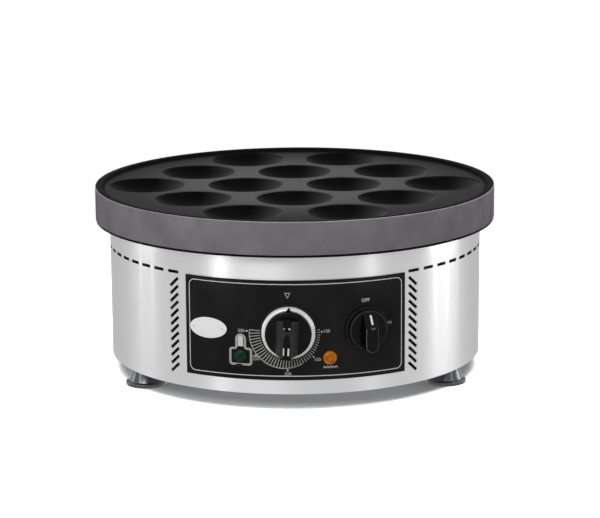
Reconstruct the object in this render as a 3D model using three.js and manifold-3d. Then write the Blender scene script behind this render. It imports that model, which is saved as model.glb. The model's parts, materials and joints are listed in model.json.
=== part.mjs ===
// Electric pancake maker: a cast plate with round bowls on a steel body with a curved control panel.
// Millimetres, +Z up. The front faces -Y, and the origin is on the table under the body's axis.

import * as THREE from "three";
import { mergeVertices } from "three/addons/utils/BufferGeometryUtils.js";
import Module from "manifold-3d";

const wasm = await Module();
wasm.setup();

// Fits
const seat = 0.3; // between two pieces that rest on each other
const fit = 0.3; // round a shaft or a screw in its hole
const over = 2; // how far a cutter runs past the face it cuts
const sunk = 0.5; // how far two lumps of one piece run into each other
const sheet = 1.2; // sheet steel of the shell and base

// Facets
const body_steps = 52;
const inner_steps = 20;
const bowl_steps = 18;
const knob_steps = 20;
const small_steps = 14;
const hole_steps = 8;
const tube_sides = 6;

// Body shell
const plate_overhang = 14; // plate past the shell all round
const shell_h = 135;
const ground_clearance = 16;
const bend_r = 2; // outside of the fold between wall and flange
const bend_steps = 2;
const flange_w = 28; // inward flange that carries the plate
const tab_w = 20; // folded tabs that carry the base plate
const tab_reach = 14;
const tab_count = 3;
const base_recess = 8; // base plate above the shell's lower edge

// Slots in the shell
const slot_l = 12.9;
const slot_w = 3;
const slot_row_h = 111; // row of level slots above the shell's lower edge
const slot_row_right = 121.2; // along the shell from its front to the first level slot
const slot_row_left = 125.6;
const slot_row_pitch = 19.2;
const slant_right = 120.1; // along the shell from its front to the slanted slots
const slant_left = 124.7;
const slant_low = 17;
const slant_pitch = 7.63;
const slant_count = 12;
const slant_degrees = 42;

// Cooking plate
const plate_d = 400;
const plate_h = 32.7;
const plate_gap = 1.7; // dark joint between shell and plate
const plate_edge = 0.8;
const rim_w = 8;
const rim_drop = 2.5; // rim to cooking surface
const rim_slope = 1.6;
const deck_t = 16;
const skirt_w = 10;
const boss_d = 16;
const bowl_d = 77;
const bowl_depth = 10;
const bowl_lip = 1.5; // width of the rounded lip
const bowl_pitch = 98.7; // between bowls of one row
const row_pitch = 70.4;
const bowl_rows = [2, 3, 4, 3, 2];
const bowl_rings = 3;

// Studs, nuts and screws
const stud_d = 6;
const stud_count = 3;
const stud_depth = 11; // in the plate's boss
const stud_tail = 4; // past its nut
const nut_af = 10; // across flats
const nut_h = 5;
const screw_d = 4;
const head_d = 7;
const head_h = 2.2;
const base_screw_l = 9;

// Heating element and what holds it
const element_d = 8.5;
const element_edge = 9; // pan wall to the middle of the outer ring
const element_pitch = 34;
const element_run = 26; // ring's end short of the gap
const element_bend_r = 14;
const leg_drop = 18; // under the reflector pan
const leg_hole = 2; // round a leg in the pan and insulation
const ring_steps = [16, 14, 11, 8];
const turn_steps = 4;
const leg_bend_steps = 3;
const clamp_t = 3;
const clamp_arm_w = 16;
const clamp_past = 6; // arm past the outer ring
const clamp_arms = 3;
const clamp_stud_depth = 9; // in the plate
const clamp_stud_tail = 3;

// Reflector pan and insulation
const pan_t = 0.8;
const pan_gap = 2; // pan wall to the shell's flange
const pan_lip = 6;
const pan_depth = 8.5;
const pad_t = 6;
const pad_gap = 1;
const pad_bore_d = 28;

// Base plate
const base_gap = 0.5;
const vent_l = 38;
const vent_w = 5;
const vent_count = 12;
const vent_circle_d = 190;

// Feet
const foot_inset = 14.4; // shell wall to the foot's axis
const foot_turn = 120; // degrees between feet
const foot_d = 40;
const foot_t = 3.5;
const foot_edge = 0.6;
const foot_neck_d = 34;
const foot_neck_rise = 0.8;
const foot_waist_d = 28;
const foot_waist_share = 0.42;
const foot_top_d = 24.6;
const foot_well_d = 14;
const foot_well_depth = 9;
const foot_screw_d = 5;
const foot_head_d = 9.5;
const foot_head_h = 3;
const foot_nut_af = 8;
const foot_nut_h = 4;
const foot_screw_tail = 3;

// Control panel, measured along its curved face from its middle
const panel_w = 221.2;
const panel_h = 96.6;
const panel_t = 1;
const panel_low = 14; // above the shell's lower edge
const knob_y = -1.3; // both knobs' axes
const badge_x = -85.9;
const badge_y = -0.9;
const badge_w = 38.8;
const badge_h = 19.8;
const badge_t = 0.6;
const badge_steps = 16;

// Thermostat
const thermostat_x = -6.7;
const thermostat_w = 44;
const thermostat_h = 40;
const thermostat_depth = 28;
const thermostat_bush_d = 11;
const shaft_d = 6;
const shaft_flat = 1.5; // cut off the shaft's round
const shaft_in = 12; // in the body behind
const shaft_hole_gap = 1.5; // round the shaft in shell and panel
const thermostat_screw_pitch = 28;
const screw_grip = 7; // thread in the body behind
const spade_w = 6.3;
const spade_t = 0.8;
const spade_l = 10;
const spade_pitch = 16;

// Thermostat knob
const knob_lift = 1; // clear of the panel
const knob_skirt_d = 54;
const knob_skirt_t = 1.6;
const knob_cap_d = 40.6;
const knob_face = 8; // cap's face from the panel
const knob_edge = 1;
const knob_wall = 2;
const knob_hollow = 4.2;
const knob_hub_d = 14;
const knob_ring_d = 51;
const knob_ring_h = 4;
const knob_ring_edge = 1.1;
const grip_up = 17.2; // from the shaft's axis to the grip's upper end
const grip_down = 21.8;
const grip_foot_w = 22;
const grip_front_w = 12;
const grip_front = 20; // from the panel
const grip_edge = 1.2;
const grip_wall = 3; // in front of the shaft
const pointer_w = 7;
const pointer_reach = 25.4; // from the shaft's axis

// Switch
const switch_x = 68.3;
const switch_w = 32;
const switch_depth = 38;
const switch_bush_d = 11;
const switch_screw_pitch = 25;
const switch_skirt_d = 43;
const switch_cap_d = 37.6;
const switch_face = 6.5;
const switch_bar_w = 12.6;
const switch_bar_reach = 20.3; // from the shaft's axis to the bar's lower end
const switch_bar_front = 16;
const switch_bar_edge = 1;
const switch_slope_start = 4; // above the axis, where the bar starts to fall away
const switch_slope_end = 18;
const switch_slope_foot = 1; // height left there

// Signal lamps
const green_x = -52.6;
const green_y = -25.2; // from the panel's middle
const green_lens_d = 13;
const amber_x = 32.3;
const amber_y = -26.8;
const amber_lens_d = 13.5;
const lens_t = 1.6;
const lens_rise = 2.4;
const lens_wall = 1.3;
const lens_steps = 3;
const lamp_d = 9.6;
const lamp_in = 24; // behind the panel's face
const lamp_out = 1;
const lamp_nut_d = 16;
const lamp_nut_t = 2;

// Sensing bulb and its capillary
const bulb_d = 6;
const bulb_gap = 1.2; // to the inner ring
const capillary_d = 2.4;
const capillary_hole = 1.5; // round it in the pan and insulation
const capillary_turn = 9; // bulb's end to the capillary's drop
const capillary_gap = 4.1; // capillary's drop to the next ring out
const capillary_steps = 20;
const clip_w = 12;
const clip_t = 1;

// Terminal block and leads
const block_w = 34;
const block_d = 20;
const block_h = 16;
const block_y = 118; // behind the axis
const block_ways = 3;
const block_bore_d = 4;
const block_screw_d = 3;
const block_screw_pitch = 22;
const block_head_d = 5;
const block_head_h = 2;
const lead_d = 3;
const lead_run = 16; // straight at each end
const lead_sag = 8;
const lead_steps = 8;

// Cable gland at the back
const gland_z = 30; // above the shell's lower edge
const gland_bore_d = 10;
const gland_thread_d = 20;
const gland_in = 11;
const gland_hex_af = 24;
const gland_hex_h = 5;
const gland_barrel_d = 17;
const gland_barrel_l = 11;
const gland_pocket_d = 14;
const gland_pocket_l = 6;
const gland_nut_d = 23;
const gland_nut_l = 14;
const gland_nut_gap = 1;
const gland_nut_edge = 3;
const gland_locknut_af = 26;
const gland_locknut_t = 4;

// Levels
const shell_r = plate_d / 2 - plate_overhang;
const shell_in_r = shell_r - sheet;
const shell_low = ground_clearance;
const shell_top = shell_low + shell_h;
const flange_r = shell_r - flange_w;
const base_low = shell_low + base_recess;
const base_top = base_low + sheet;
const tab_low = base_top + seat;
const plate_r = plate_d / 2;
const plate_low = shell_top + plate_gap;
const plate_top = plate_low + plate_h;
const deck_top = plate_top - rim_drop;
const deck_low = deck_top - deck_t;
const stud_circle_r = (flange_r + shell_in_r) / 2;
const tab_circle_r = shell_in_r - tab_reach / 2;
const foot_circle_r = shell_in_r - foot_inset;
const panel_in_r = shell_r + seat;
const panel_r = panel_in_r + panel_t;
const panel_mid = shell_low + panel_low + panel_h / 2;
const wall_facet = shell_in_r * (1 - Math.cos(Math.PI / body_steps)); // how far its flats stand in
const shell_back = -panel_t - seat - sheet - wall_facet; // inside of the shell wall, from the panel's face
const pan_r = flange_r - pan_gap;
const pan_lip_low = shell_top + seat;
const pan_low = pan_lip_low - pan_depth;
const pan_floor = pan_low + pan_t;
const pad_low = pan_floor + seat;
const element_r = pan_r - pan_t - element_edge;
const element_z = deck_low - seat - element_d / 2;
const clamp_top = element_z - element_d / 2 - seat;
const clamp_low = clamp_top - clamp_t;
const inner_ring_r = element_r - (ring_steps.length - 1) * element_pitch;
const bulb_y = inner_ring_r + element_d / 2 + bulb_gap + bulb_d / 2;
const bulb_z = deck_low - seat - bulb_d / 2;
const drop_r = inner_ring_r + element_pitch - element_d / 2 - capillary_gap - capillary_d / 2;
const drop_x = -Math.sqrt(drop_r * drop_r - bulb_y * bulb_y);
const bulb_l = 2 * (-drop_x - capillary_turn);
const full_turn = 2 * Math.PI;

// Finishes
const finish = (color, roughness, metalness) => ({ color, roughness, metalness, flatShading: true });
const cast = finish(0x77747a, 0.55, 0.6);
const brushed = finish(0xd4d5d6, 0.32, 1);
const zinc = finish(0xa9adb0, 0.42, 1);
const chrome = finish(0xe6e8ea, 0.12, 1);
const brass = finish(0xb59a55, 0.4, 1);
const panel_black = finish(0x15161a, 0.3, 0);
const knob_black = finish(0x121214, 0.35, 0);
const rubber = finish(0x1d1f23, 0.8, 0);
const white = finish(0xf2f2f2, 0.4, 0);
const green = finish(0x0f4a22, 0.2, 0);
const amber = finish(0xd9780f, 0.2, 0);
const element_steel = finish(0x5c5650, 0.6, 0.8);
const fibre = finish(0xe9e4d6, 0.95, 0);
const nylon = finish(0x24262a, 0.6, 0);
const cream = finish(0xded6bd, 0.5, 0);
const lead_brown = finish(0x6b3d22, 0.6, 0);
const lead_blue = finish(0x2b4f9a, 0.6, 0);

const maker = new THREE.Group();

const radians = THREE.MathUtils.degToRad;

// A closed geometry as a solid that can be joined and cut.
function solid(geometry) {
  const bare = geometry.clone();
  bare.deleteAttribute("normal");
  bare.deleteAttribute("uv");
  const merged = mergeVertices(bare);
  return new wasm.Manifold(
    new wasm.Mesh({
      numProp: 3,
      vertProperties: merged.attributes.position.array,
      triVerts: new Uint32Array(merged.index.array),
    }),
  );
}

// A solid back as a geometry.
function geometry_of(body) {
  const mesh = body.getMesh();
  const geometry = new THREE.BufferGeometry();
  geometry.setAttribute("position", new THREE.BufferAttribute(mesh.vertProperties, 3));
  geometry.setIndex(new THREE.BufferAttribute(mesh.triVerts, 1));
  return geometry;
}

const cut = (body, cutters) => cutters.reduce((left, c) => left.subtract(solid(c)), solid(body));

const joined = (lumps) => lumps.slice(1).reduce((sum, l) => sum.add(solid(l)), solid(lumps[0]));

// One named piece of the assembly.
function piece(name, parent, shape, look) {
  const geometry = shape.isBufferGeometry ? shape : geometry_of(shape);
  const mesh = new THREE.Mesh(geometry, new THREE.MeshStandardMaterial(look));
  mesh.name = name;
  parent.add(mesh);
  return mesh;
}

// A body turned about +Z from [radius, height] points. A profile that is off the axis closes on itself.
function turned(profile, steps = small_steps) {
  const points = profile.map(([r, z]) => new THREE.Vector2(r, z));
  if (THREE.ShapeUtils.isClockWise(points)) points.reverse();
  const on_axis = points[0].x === 0 && points[points.length - 1].x === 0;
  if (!on_axis) points.push(points[0].clone());
  return new THREE.LatheGeometry(points, steps).rotateX(Math.PI / 2);
}

const rod = (r, low, high, steps = small_steps) =>
  turned([[0, low], [r, low], [r, high], [0, high]], steps);

// A hole's cutter, whose flats stay clear of radius r all round.
const bore = (r, low, high, steps = hole_steps) => rod(r / Math.cos(Math.PI / steps), low, high, steps);

const ring = (r_in, r_out, low, high, steps = small_steps) =>
  turned([[r_in, low], [r_out, low], [r_out, high], [r_in, high]], steps);

const block = (w, d, h) => new THREE.BoxGeometry(w, d, h);

// A flat outline given thickness along +Z.
function plate(shape, low, high, curveSegments = small_steps) {
  const settings = { depth: high - low, bevelEnabled: false, curveSegments };
  return new THREE.ExtrudeGeometry(shape, settings).translate(0, 0, low);
}

function outline(points) {
  return new THREE.Shape(points.map(([x, y]) => new THREE.Vector2(x, y)));
}

// A six-sided bar along +Z, sized across its flats.
function hexagon(across, low, high) {
  const corner_r = across / 2 / Math.cos(Math.PI / 6);
  return new THREE.CylinderGeometry(corner_r, corner_r, high - low, 6)
    .rotateX(Math.PI / 2)
    .translate(0, 0, (low + high) / 2);
}

// How far a round wall of radius r falls back over half a width.
const sag = (r, half) => r - Math.sqrt(r * r - half * half);

// Place on a circle about the body's axis, with the turn measured from the front.
const on_circle = (r, turn, z = 0) => new THREE.Vector3(r * Math.sin(turn), -r * Math.cos(turn), z);

const repeat = (count, make) => Array.from({ length: count }, (_, i) => make(i));

// From a face's own frame, x to the right, y up and z outward, to its place on a round wall.
function wall_place(r, turn, z) {
  return new THREE.Matrix4()
    .makeRotationZ(turn)
    .multiply(new THREE.Matrix4().makeTranslation(0, -r, z))
    .multiply(new THREE.Matrix4().makeRotationX(Math.PI / 2));
}

const panel_place = (x, y) => wall_place(panel_r, x / panel_r, panel_mid + y);

function group_at(matrix) {
  const group = new THREE.Group();
  group.applyMatrix4(matrix);
  maker.add(group);
  return group;
}

// Holes through panel and shell for what is mounted on the panel: at x, y in the panel's face,
// and dx, dy from there.
function panel_holes() {
  const hole_at = (r, x, y, dx = 0, dy = 0) =>
    bore(r, shell_back - over, over).translate(dx, dy, 0).applyMatrix4(panel_place(x, y));
  const control_holes = (x, screws) => [
    hole_at(shaft_d / 2 + shaft_hole_gap, x, knob_y),
    ...screws.map(([dx, dy]) => hole_at(screw_d / 2 + fit, x, knob_y, dx, dy)),
  ];
  const lamp_hole_r = lamp_d / 2 + fit;
  return [
    ...control_holes(thermostat_x, side_screws),
    ...control_holes(switch_x, upright_screws),
    hole_at(lamp_hole_r, green_x, green_y),
    hole_at(lamp_hole_r, amber_x, amber_y),
  ];
}

// Body shell: a folded band with its flange, base tabs and vent slots
function shell_slots() {
  const slot = () => block(slot_l, sheet + 2 * over, slot_w).translate(0, -shell_r, 0);
  const row_z = shell_low + slot_row_h;
  const row_span = full_turn * shell_r - slot_row_right - slot_row_left;
  const row_count = 1 + Math.round(row_span / slot_row_pitch);
  const level = repeat(row_count, (i) => {
    const along = slot_row_right + (row_span * i) / (row_count - 1);
    return slot().translate(0, 0, row_z).rotateZ(along / shell_r);
  });
  const columns = [
    [-1, slant_left],
    [1, slant_right],
  ];
  const slanted = columns.flatMap(([side, along]) =>
    repeat(slant_count, (i) => {
      const z = shell_low + slant_low + i * slant_pitch;
      return slot()
        .rotateY(side * radians(slant_degrees))
        .translate(0, 0, z)
        .rotateZ((side * along) / shell_r);
    }),
  );
  return [...level, ...slanted];
}

function make_shell() {
  const fold = repeat(bend_steps + 1, (i) => {
    const a = (Math.PI / 2) * (i / bend_steps);
    return [shell_r - bend_r + bend_r * Math.cos(a), shell_top - bend_r + bend_r * Math.sin(a)];
  });
  const band = turned(
    [
      [shell_in_r, shell_low],
      [shell_r, shell_low],
      ...fold,
      [flange_r, shell_top],
      [flange_r, shell_top - sheet],
      [shell_in_r, shell_top - sheet],
    ],
    body_steps,
  );
  const tab_l = tab_reach + sheet / 2;
  const tabs = repeat(tab_count, (i) =>
    block(tab_w, tab_l, sheet)
      .translate(0, -(shell_in_r - tab_reach + tab_l / 2), tab_low + sheet / 2)
      .rotateZ((full_turn * i) / tab_count),
  );
  const tab_holes = repeat(tab_count, (i) => {
    const at = on_circle(tab_circle_r, (full_turn * i) / tab_count);
    return bore(screw_d / 2 + fit, base_low, tab_low + sheet + over).translate(at.x, at.y, 0);
  });
  const stud_holes = repeat(stud_count, (i) => {
    const at = on_circle(stud_circle_r, (full_turn * i) / stud_count);
    return bore(stud_d / 2 + fit, shell_top - sheet - over, shell_top + over).translate(at.x, at.y, 0);
  });
  const gland_hole_r = gland_thread_d / 2 + fit;
  const gland_hole = bore(gland_hole_r, -sheet - over, over, small_steps).applyMatrix4(gland_place());
  const cutters = [...shell_slots(), ...tab_holes, ...stud_holes, gland_hole, ...panel_holes()];
  const body = cutters.reduce((left, c) => left.subtract(solid(c)), joined([band, ...tabs]));
  piece("body_shell", maker, body, brushed);
}

// Cooking plate: deck with bowls, raised rim, skirt and three bosses
function bowl_places() {
  return bowl_rows.flatMap((count, row) =>
    repeat(count, (i) => [
      (i - (count - 1) / 2) * bowl_pitch,
      (row - (bowl_rows.length - 1) / 2) * row_pitch,
    ]),
  );
}

// The space of one bowl: a shallow part of a sphere that opens through a rounded lip.
function bowl_space() {
  const mouth_r = bowl_d / 2;
  const ball_r = (mouth_r * mouth_r + bowl_depth * bowl_depth) / (2 * bowl_depth);
  const half_angle = Math.asin((mouth_r - bowl_lip) / ball_r);
  const arc = repeat(bowl_rings + 1, (i) => {
    const a = (half_angle * i) / bowl_rings;
    return [ball_r * Math.sin(a), deck_top - bowl_depth + ball_r * (1 - Math.cos(a))];
  });
  const mouth = [mouth_r, deck_top];
  return turned([...arc, mouth, [mouth_r, deck_top + over], [0, deck_top + over]], bowl_steps);
}

function make_plate() {
  const edge = plate_edge;
  const rim_in = plate_r - rim_w;
  const skirt_in = plate_r - skirt_w;
  const casting = turned(
    [
      [0, deck_low],
      [skirt_in, deck_low],
      [skirt_in, plate_low],
      [plate_r - edge, plate_low],
      [plate_r, plate_low + edge],
      [plate_r, plate_top - edge],
      [plate_r - edge, plate_top],
      [rim_in, plate_top],
      [rim_in - rim_slope, deck_top],
      [0, deck_top],
    ],
    body_steps,
  );
  const boss_low = shell_top + seat;
  const bosses = repeat(stud_count, (i) => {
    const at = on_circle(stud_circle_r, (full_turn * i) / stud_count);
    return rod(boss_d / 2, boss_low, deck_low + sunk).translate(at.x, at.y, 0);
  });
  const stud_wells = repeat(stud_count, (i) => {
    const at = on_circle(stud_circle_r, (full_turn * i) / stud_count);
    return bore(stud_d / 2 + fit, boss_low - over, boss_low + stud_depth + seat).translate(at.x, at.y, 0);
  });
  const clamp_well = bore(stud_d / 2 + fit, deck_low - over, deck_low + clamp_stud_depth + seat);
  const bowl = solid(bowl_space());
  let body = joined([casting, ...bosses]);
  for (const well of [...stud_wells, clamp_well]) body = body.subtract(solid(well));
  for (const [x, y] of bowl_places()) body = body.subtract(bowl.translate(x, y, 0));
  piece("cooking_plate", maker, body, cast);
}

function make_plate_fixings() {
  const stud_top = shell_top + seat + stud_depth;
  const nut_top = shell_top - sheet - seat;
  const nut_low = nut_top - nut_h;
  repeat(stud_count, (i) => {
    const at = on_circle(stud_circle_r, (full_turn * i) / stud_count);
    const fixing = new THREE.Group();
    fixing.position.set(at.x, at.y, 0);
    maker.add(fixing);
    piece("plate_stud_" + (i + 1), fixing, rod(stud_d / 2, nut_low - stud_tail, stud_top, hole_steps), zinc);
    piece("plate_nut_" + (i + 1), fixing, nut(nut_af, nut_low, nut_top, stud_d), zinc);
  });
}

const nut = (across, low, high, thread_d) =>
  cut(hexagon(across, low, high), [bore(thread_d / 2 + fit, low - over, high + over)]);

// A round-headed screw along +Z, with its head under the level where it bears.
const pan_screw = (d, bearing, tip, wide, tall) =>
  turned(
    [
      [0, bearing - tall],
      [wide / 2, bearing - tall],
      [wide / 2, bearing],
      [d / 2, bearing],
      [d / 2, tip],
      [0, tip],
    ],
    hole_steps,
  );

// Heating element: four nested rings of one bent tube, with both ends down through the reflector pan

// An arc in space that starts at centre + along and turns towards side.
class SpaceArc extends THREE.Curve {
  constructor(centre, along, side, sweep) {
    super();
    Object.assign(this, { centre, along, side, sweep });
  }

  getPoint(t, target = new THREE.Vector3()) {
    const a = this.sweep * t;
    return target
      .copy(this.centre)
      .addScaledVector(this.along, Math.cos(a))
      .addScaledVector(this.side, Math.sin(a));
  }
}

// Joined curves, each with its own number of steps, so that a tight bend gets as many as it needs.
class Route extends THREE.Curve {
  constructor(parts) {
    super();
    this.parts = parts;
    this.steps = parts.reduce((sum, [, steps]) => sum + steps, 0);
  }

  getPoint(t, target) {
    let left = t * this.steps;
    for (const [curve, steps] of this.parts) {
      if (left <= steps) return curve.getPoint(left / steps, target);
      left -= steps;
    }
    return this.parts[this.parts.length - 1][0].getPoint(1, target);
  }

  getUtoTmapping(u) {
    return u;
  }

  getSpacedPoints(steps) {
    return this.getPoints(steps);
  }
}

const up = new THREE.Vector3(0, 0, 1);
const outward = (turn) => on_circle(1, turn);
const round = (turn) => new THREE.Vector3(Math.cos(turn), Math.sin(turn), 0);
const ring_r = (k) => element_r - k * element_pitch;

// Where ring k stops: inner and outer rings that share a return bend stop at one spoke.
const spoke_of = (r) => element_run / r;

function element_route() {
  const centre = new THREE.Vector3(0, 0, element_z);
  const mid = (k) => ring_r(k) - element_pitch / 2;
  const last = ring_steps.length - 1;
  const near = (k) => (k === 0 || k === last ? spoke_of(ring_r(k)) : spoke_of(mid(k % 2 === 1 ? k : k - 1)));
  const far = (k) => full_turn - spoke_of(mid(k % 2 === 0 ? k : k - 1));
  const parts = [];
  const bend = element_bend_r;

  const first_dir = round(near(0));
  const first = on_circle(ring_r(0), near(0), element_z);
  const rise_centre = first.clone().addScaledVector(up, -bend);
  const foot = rise_centre.clone().addScaledVector(first_dir, -bend);
  parts.push([new THREE.LineCurve3(foot.clone().setZ(pan_low - leg_drop), foot), 1]);
  const upward = up.clone().multiplyScalar(bend);
  const inward = first_dir.clone().multiplyScalar(-bend);
  parts.push([new SpaceArc(rise_centre, inward, upward, Math.PI / 2), leg_bend_steps]);

  ring_steps.forEach((steps, k) => {
    const sense = k % 2 === 0 ? 1 : -1;
    const [from, to] = sense > 0 ? [near(k), far(k)] : [far(k), near(k)];
    const r = ring_r(k);
    const along = outward(from).multiplyScalar(r);
    const side = round(from).multiplyScalar(sense * r);
    parts.push([new SpaceArc(centre, along, side, Math.abs(to - from)), steps]);
    if (k === last) return;
    const turn_r = element_pitch / 2;
    const turn_centre = on_circle(mid(k), to, element_z);
    const turn_along = outward(to).multiplyScalar(turn_r);
    const turn_side = round(to).multiplyScalar(sense * turn_r);
    parts.push([new SpaceArc(turn_centre, turn_along, turn_side, Math.PI), turn_steps]);
  });

  const end_dir = round(near(last)).negate();
  const end = on_circle(ring_r(last), near(last), element_z);
  const fall_centre = end.clone().addScaledVector(up, -bend);
  const onward = end_dir.clone().multiplyScalar(bend);
  parts.push([new SpaceArc(fall_centre, upward, onward, Math.PI / 2), leg_bend_steps]);
  const head = fall_centre.clone().addScaledVector(end_dir, bend);
  parts.push([new THREE.LineCurve3(head, head.clone().setZ(pan_low - leg_drop)), 1]);
  return new Route(parts);
}

// A tube of diameter d along a curve.
function tube(curve, d, steps) {
  const section = new THREE.Shape(
    repeat(tube_sides, (i) => {
      const a = (full_turn * i) / tube_sides;
      return new THREE.Vector2((d / 2) * Math.cos(a), (d / 2) * Math.sin(a));
    }),
  );
  return new THREE.ExtrudeGeometry(section, { steps, bevelEnabled: false, extrudePath: curve });
}

const element_legs = () => {
  const route = element_route();
  return [route.getPoint(0), route.getPoint(1)];
};

function make_element() {
  const route = element_route();
  piece("heating_element", maker, tube(route, element_d, route.steps), element_steel);

  const reach = element_r + clamp_past;
  const arms = repeat(clamp_arms, (i) =>
    block(clamp_arm_w, reach, clamp_t)
      .translate(0, reach / 2, (clamp_low + clamp_top) / 2)
      .rotateZ((full_turn * i) / clamp_arms),
  );
  const stud_hole = bore(stud_d / 2 + fit, clamp_low - over, clamp_top + over);
  piece("element_clamp", maker, joined(arms).subtract(solid(stud_hole)), zinc);

  const nut_top = clamp_low - seat;
  const nut_low = nut_top - nut_h;
  const stud = rod(stud_d / 2, nut_low - clamp_stud_tail, deck_low + clamp_stud_depth, hole_steps);
  piece("clamp_stud", maker, stud, zinc);
  piece("clamp_nut", maker, nut(nut_af, nut_low, nut_top, stud_d), zinc);
}

// Reflector pan, hung by its lip on the shell's flange, and the pad that lies in it
function pan_holes(low, high) {
  const leg_hole_r = element_d / 2 + leg_hole;
  return [
    ...element_legs().map((leg) => bore(leg_hole_r, low - over, high + over).translate(leg.x, leg.y, 0)),
    bore(capillary_d / 2 + capillary_hole, low - over, high + over).translate(drop_x, bulb_y, 0),
  ];
}

function make_pan() {
  const lip_r = pan_r + pan_lip;
  const pan = turned(
    [
      [0, pan_low],
      [pan_r, pan_low],
      [pan_r, pan_lip_low],
      [lip_r, pan_lip_low],
      [lip_r, pan_lip_low + pan_t],
      [pan_r - pan_t, pan_lip_low + pan_t],
      [pan_r - pan_t, pan_floor],
      [0, pan_floor],
    ],
    inner_steps,
  );
  piece("reflector_pan", maker, cut(pan, pan_holes(pan_low, pan_floor)), zinc);
  const pad_top = pad_low + pad_t;
  const pad = ring(pad_bore_d / 2, pan_r - pan_t - pad_gap, pad_low, pad_top, inner_steps);
  piece("insulation_disc", maker, cut(pad, pan_holes(pad_low, pad_top)), fibre);
}

// Base plate with its vents, and the feet
const foot_turns = [-foot_turn / 2, foot_turn / 2, 180];
const foot_names = ["front_left", "front_right", "rear"];

function make_base() {
  const disc = rod(shell_in_r - base_gap, base_low, base_top, body_steps);
  const hole = (r, at) => bore(r, base_low - over, base_top + over).translate(at.x, at.y, 0);
  const vents = repeat(vent_count, (i) =>
    block(vent_w, vent_l, sheet + 2 * over)
      .translate(0, vent_circle_d / 2, (base_low + base_top) / 2)
      .rotateZ((full_turn * (i + 1 / 2)) / vent_count),
  );
  const foot_places = foot_turns.map((turn) => on_circle(foot_circle_r, radians(turn)));
  const tab_places = repeat(tab_count, (i) => on_circle(tab_circle_r, (full_turn * i) / tab_count));
  const cutters = [
    ...vents,
    ...foot_places.map((at) => hole(foot_screw_d / 2 + fit, at)),
    ...tab_places.map((at) => hole(screw_d / 2 + fit, at)),
    ...block_screw_places().map((at) => hole(block_screw_d / 2 + fit, at)),
  ];
  piece("base_plate", maker, cut(disc, cutters), zinc);
  repeat(tab_count, (i) => {
    const screw = pan_screw(screw_d, base_low - seat, base_low + base_screw_l, head_d, head_h);
    const mesh = piece("base_screw_" + (i + 1), maker, screw, zinc);
    mesh.position.copy(on_circle(tab_circle_r, (full_turn * i) / tab_count));
  });
}

function make_feet() {
  const top = base_low - seat;
  const bore_r = foot_screw_d / 2 + 2 * fit;
  const neck_z = foot_t + foot_neck_rise;
  const profile = [
    [foot_well_d / 2, 0],
    [foot_d / 2 - foot_edge, 0],
    [foot_d / 2, foot_edge],
    [foot_d / 2, foot_t],
    [foot_neck_d / 2, neck_z],
    [foot_waist_d / 2, neck_z + foot_waist_share * (top - neck_z)],
    [foot_top_d / 2, top],
    [bore_r, top],
    [bore_r, foot_well_depth],
    [foot_well_d / 2, foot_well_depth],
  ];
  const nut_low = base_top + seat;
  const nut_top = nut_low + foot_nut_h;
  foot_names.forEach((name, i) => {
    const foot = new THREE.Group();
    foot.position.copy(on_circle(foot_circle_r, radians(foot_turns[i])));
    maker.add(foot);
    piece("foot_" + name, foot, turned(profile), rubber);
    const bearing = foot_well_depth - seat;
    const screw = pan_screw(foot_screw_d, bearing, nut_top + foot_screw_tail, foot_head_d, foot_head_h);
    piece("foot_screw_" + name, foot, screw, zinc);
    piece("foot_nut_" + name, foot, nut(foot_nut_af, nut_low, nut_top, foot_screw_d), zinc);
  });
}

// Control panel and badge: each is cut from a thin tube round the shell
function make_panel() {
  const half_turn = panel_w / 2 / panel_r;
  const far_r = panel_r + over;
  const sector = outline([
    [0, 0],
    [-far_r * Math.tan(half_turn), -far_r],
    [far_r * Math.tan(half_turn), -far_r],
  ]);
  const low = shell_low + panel_low;
  const wedge = solid(plate(sector, low, low + panel_h));
  const skin = ring(panel_in_r, panel_r, low - over, low + panel_h + over, body_steps);
  const body = panel_holes().reduce((left, c) => left.subtract(solid(c)), solid(skin).intersect(wedge));
  piece("control_panel", maker, body, panel_black);

  const oval = new THREE.Shape();
  oval.absellipse(0, 0, badge_w / 2, badge_h / 2, 0, full_turn);
  const slab_depth = badge_w / 2;
  const slab = plate(oval, -slab_depth, over, badge_steps).applyMatrix4(panel_place(badge_x, badge_y));
  const badge_in = panel_r + seat;
  const badge_skin = ring(badge_in, badge_in + badge_t, low, low + panel_h, body_steps);
  piece("badge", maker, solid(badge_skin).intersect(solid(slab)), white);
}

// Shaft with a flat, from inside the body behind to inside the knob.
function shaft_solid(low, high) {
  const flat = block(shaft_d, shaft_d, high - low + 2 * over)
    .translate(0, shaft_d - shaft_flat, (low + high) / 2);
  return cut(rod(shaft_d / 2, low, high, small_steps), [flat]);
}

// Bodies behind the panel bear on the curved wall with their edges
const body_front = (w) => shell_back - sag(shell_in_r, w / 2) - seat;

function control_body(w, h, depth, bush_d, screw_places) {
  const front = body_front(w);
  const bush_front = shell_back - seat - sag(shell_in_r, bush_d / 2);
  const box = block(w, h, depth).translate(0, 0, front - depth / 2);
  const bush = rod(bush_d / 2, front - sunk, bush_front);
  const spades = [-1, 1].map((side) =>
    block(spade_w, spade_t, spade_l + sunk)
      .translate((side * spade_pitch) / 2, 0, front - depth - spade_l / 2 + sunk / 2),
  );
  const shaft_well = bore(shaft_d / 2 + fit, shaft_back(w) - seat, over, small_steps);
  const wells = screw_places.map(([x, y]) =>
    bore(screw_d / 2 + fit, front - screw_grip - seat, over).translate(x, y, 0),
  );
  return [shaft_well, ...wells].reduce((left, c) => left.subtract(solid(c)), joined([box, bush, ...spades]));
}

const shaft_back = (w) => body_front(w) - shaft_in;

const face_screw = (w) =>
  pan_screw(screw_d, -seat, -(body_front(w) - screw_grip), head_d, head_h).rotateX(Math.PI);

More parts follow.
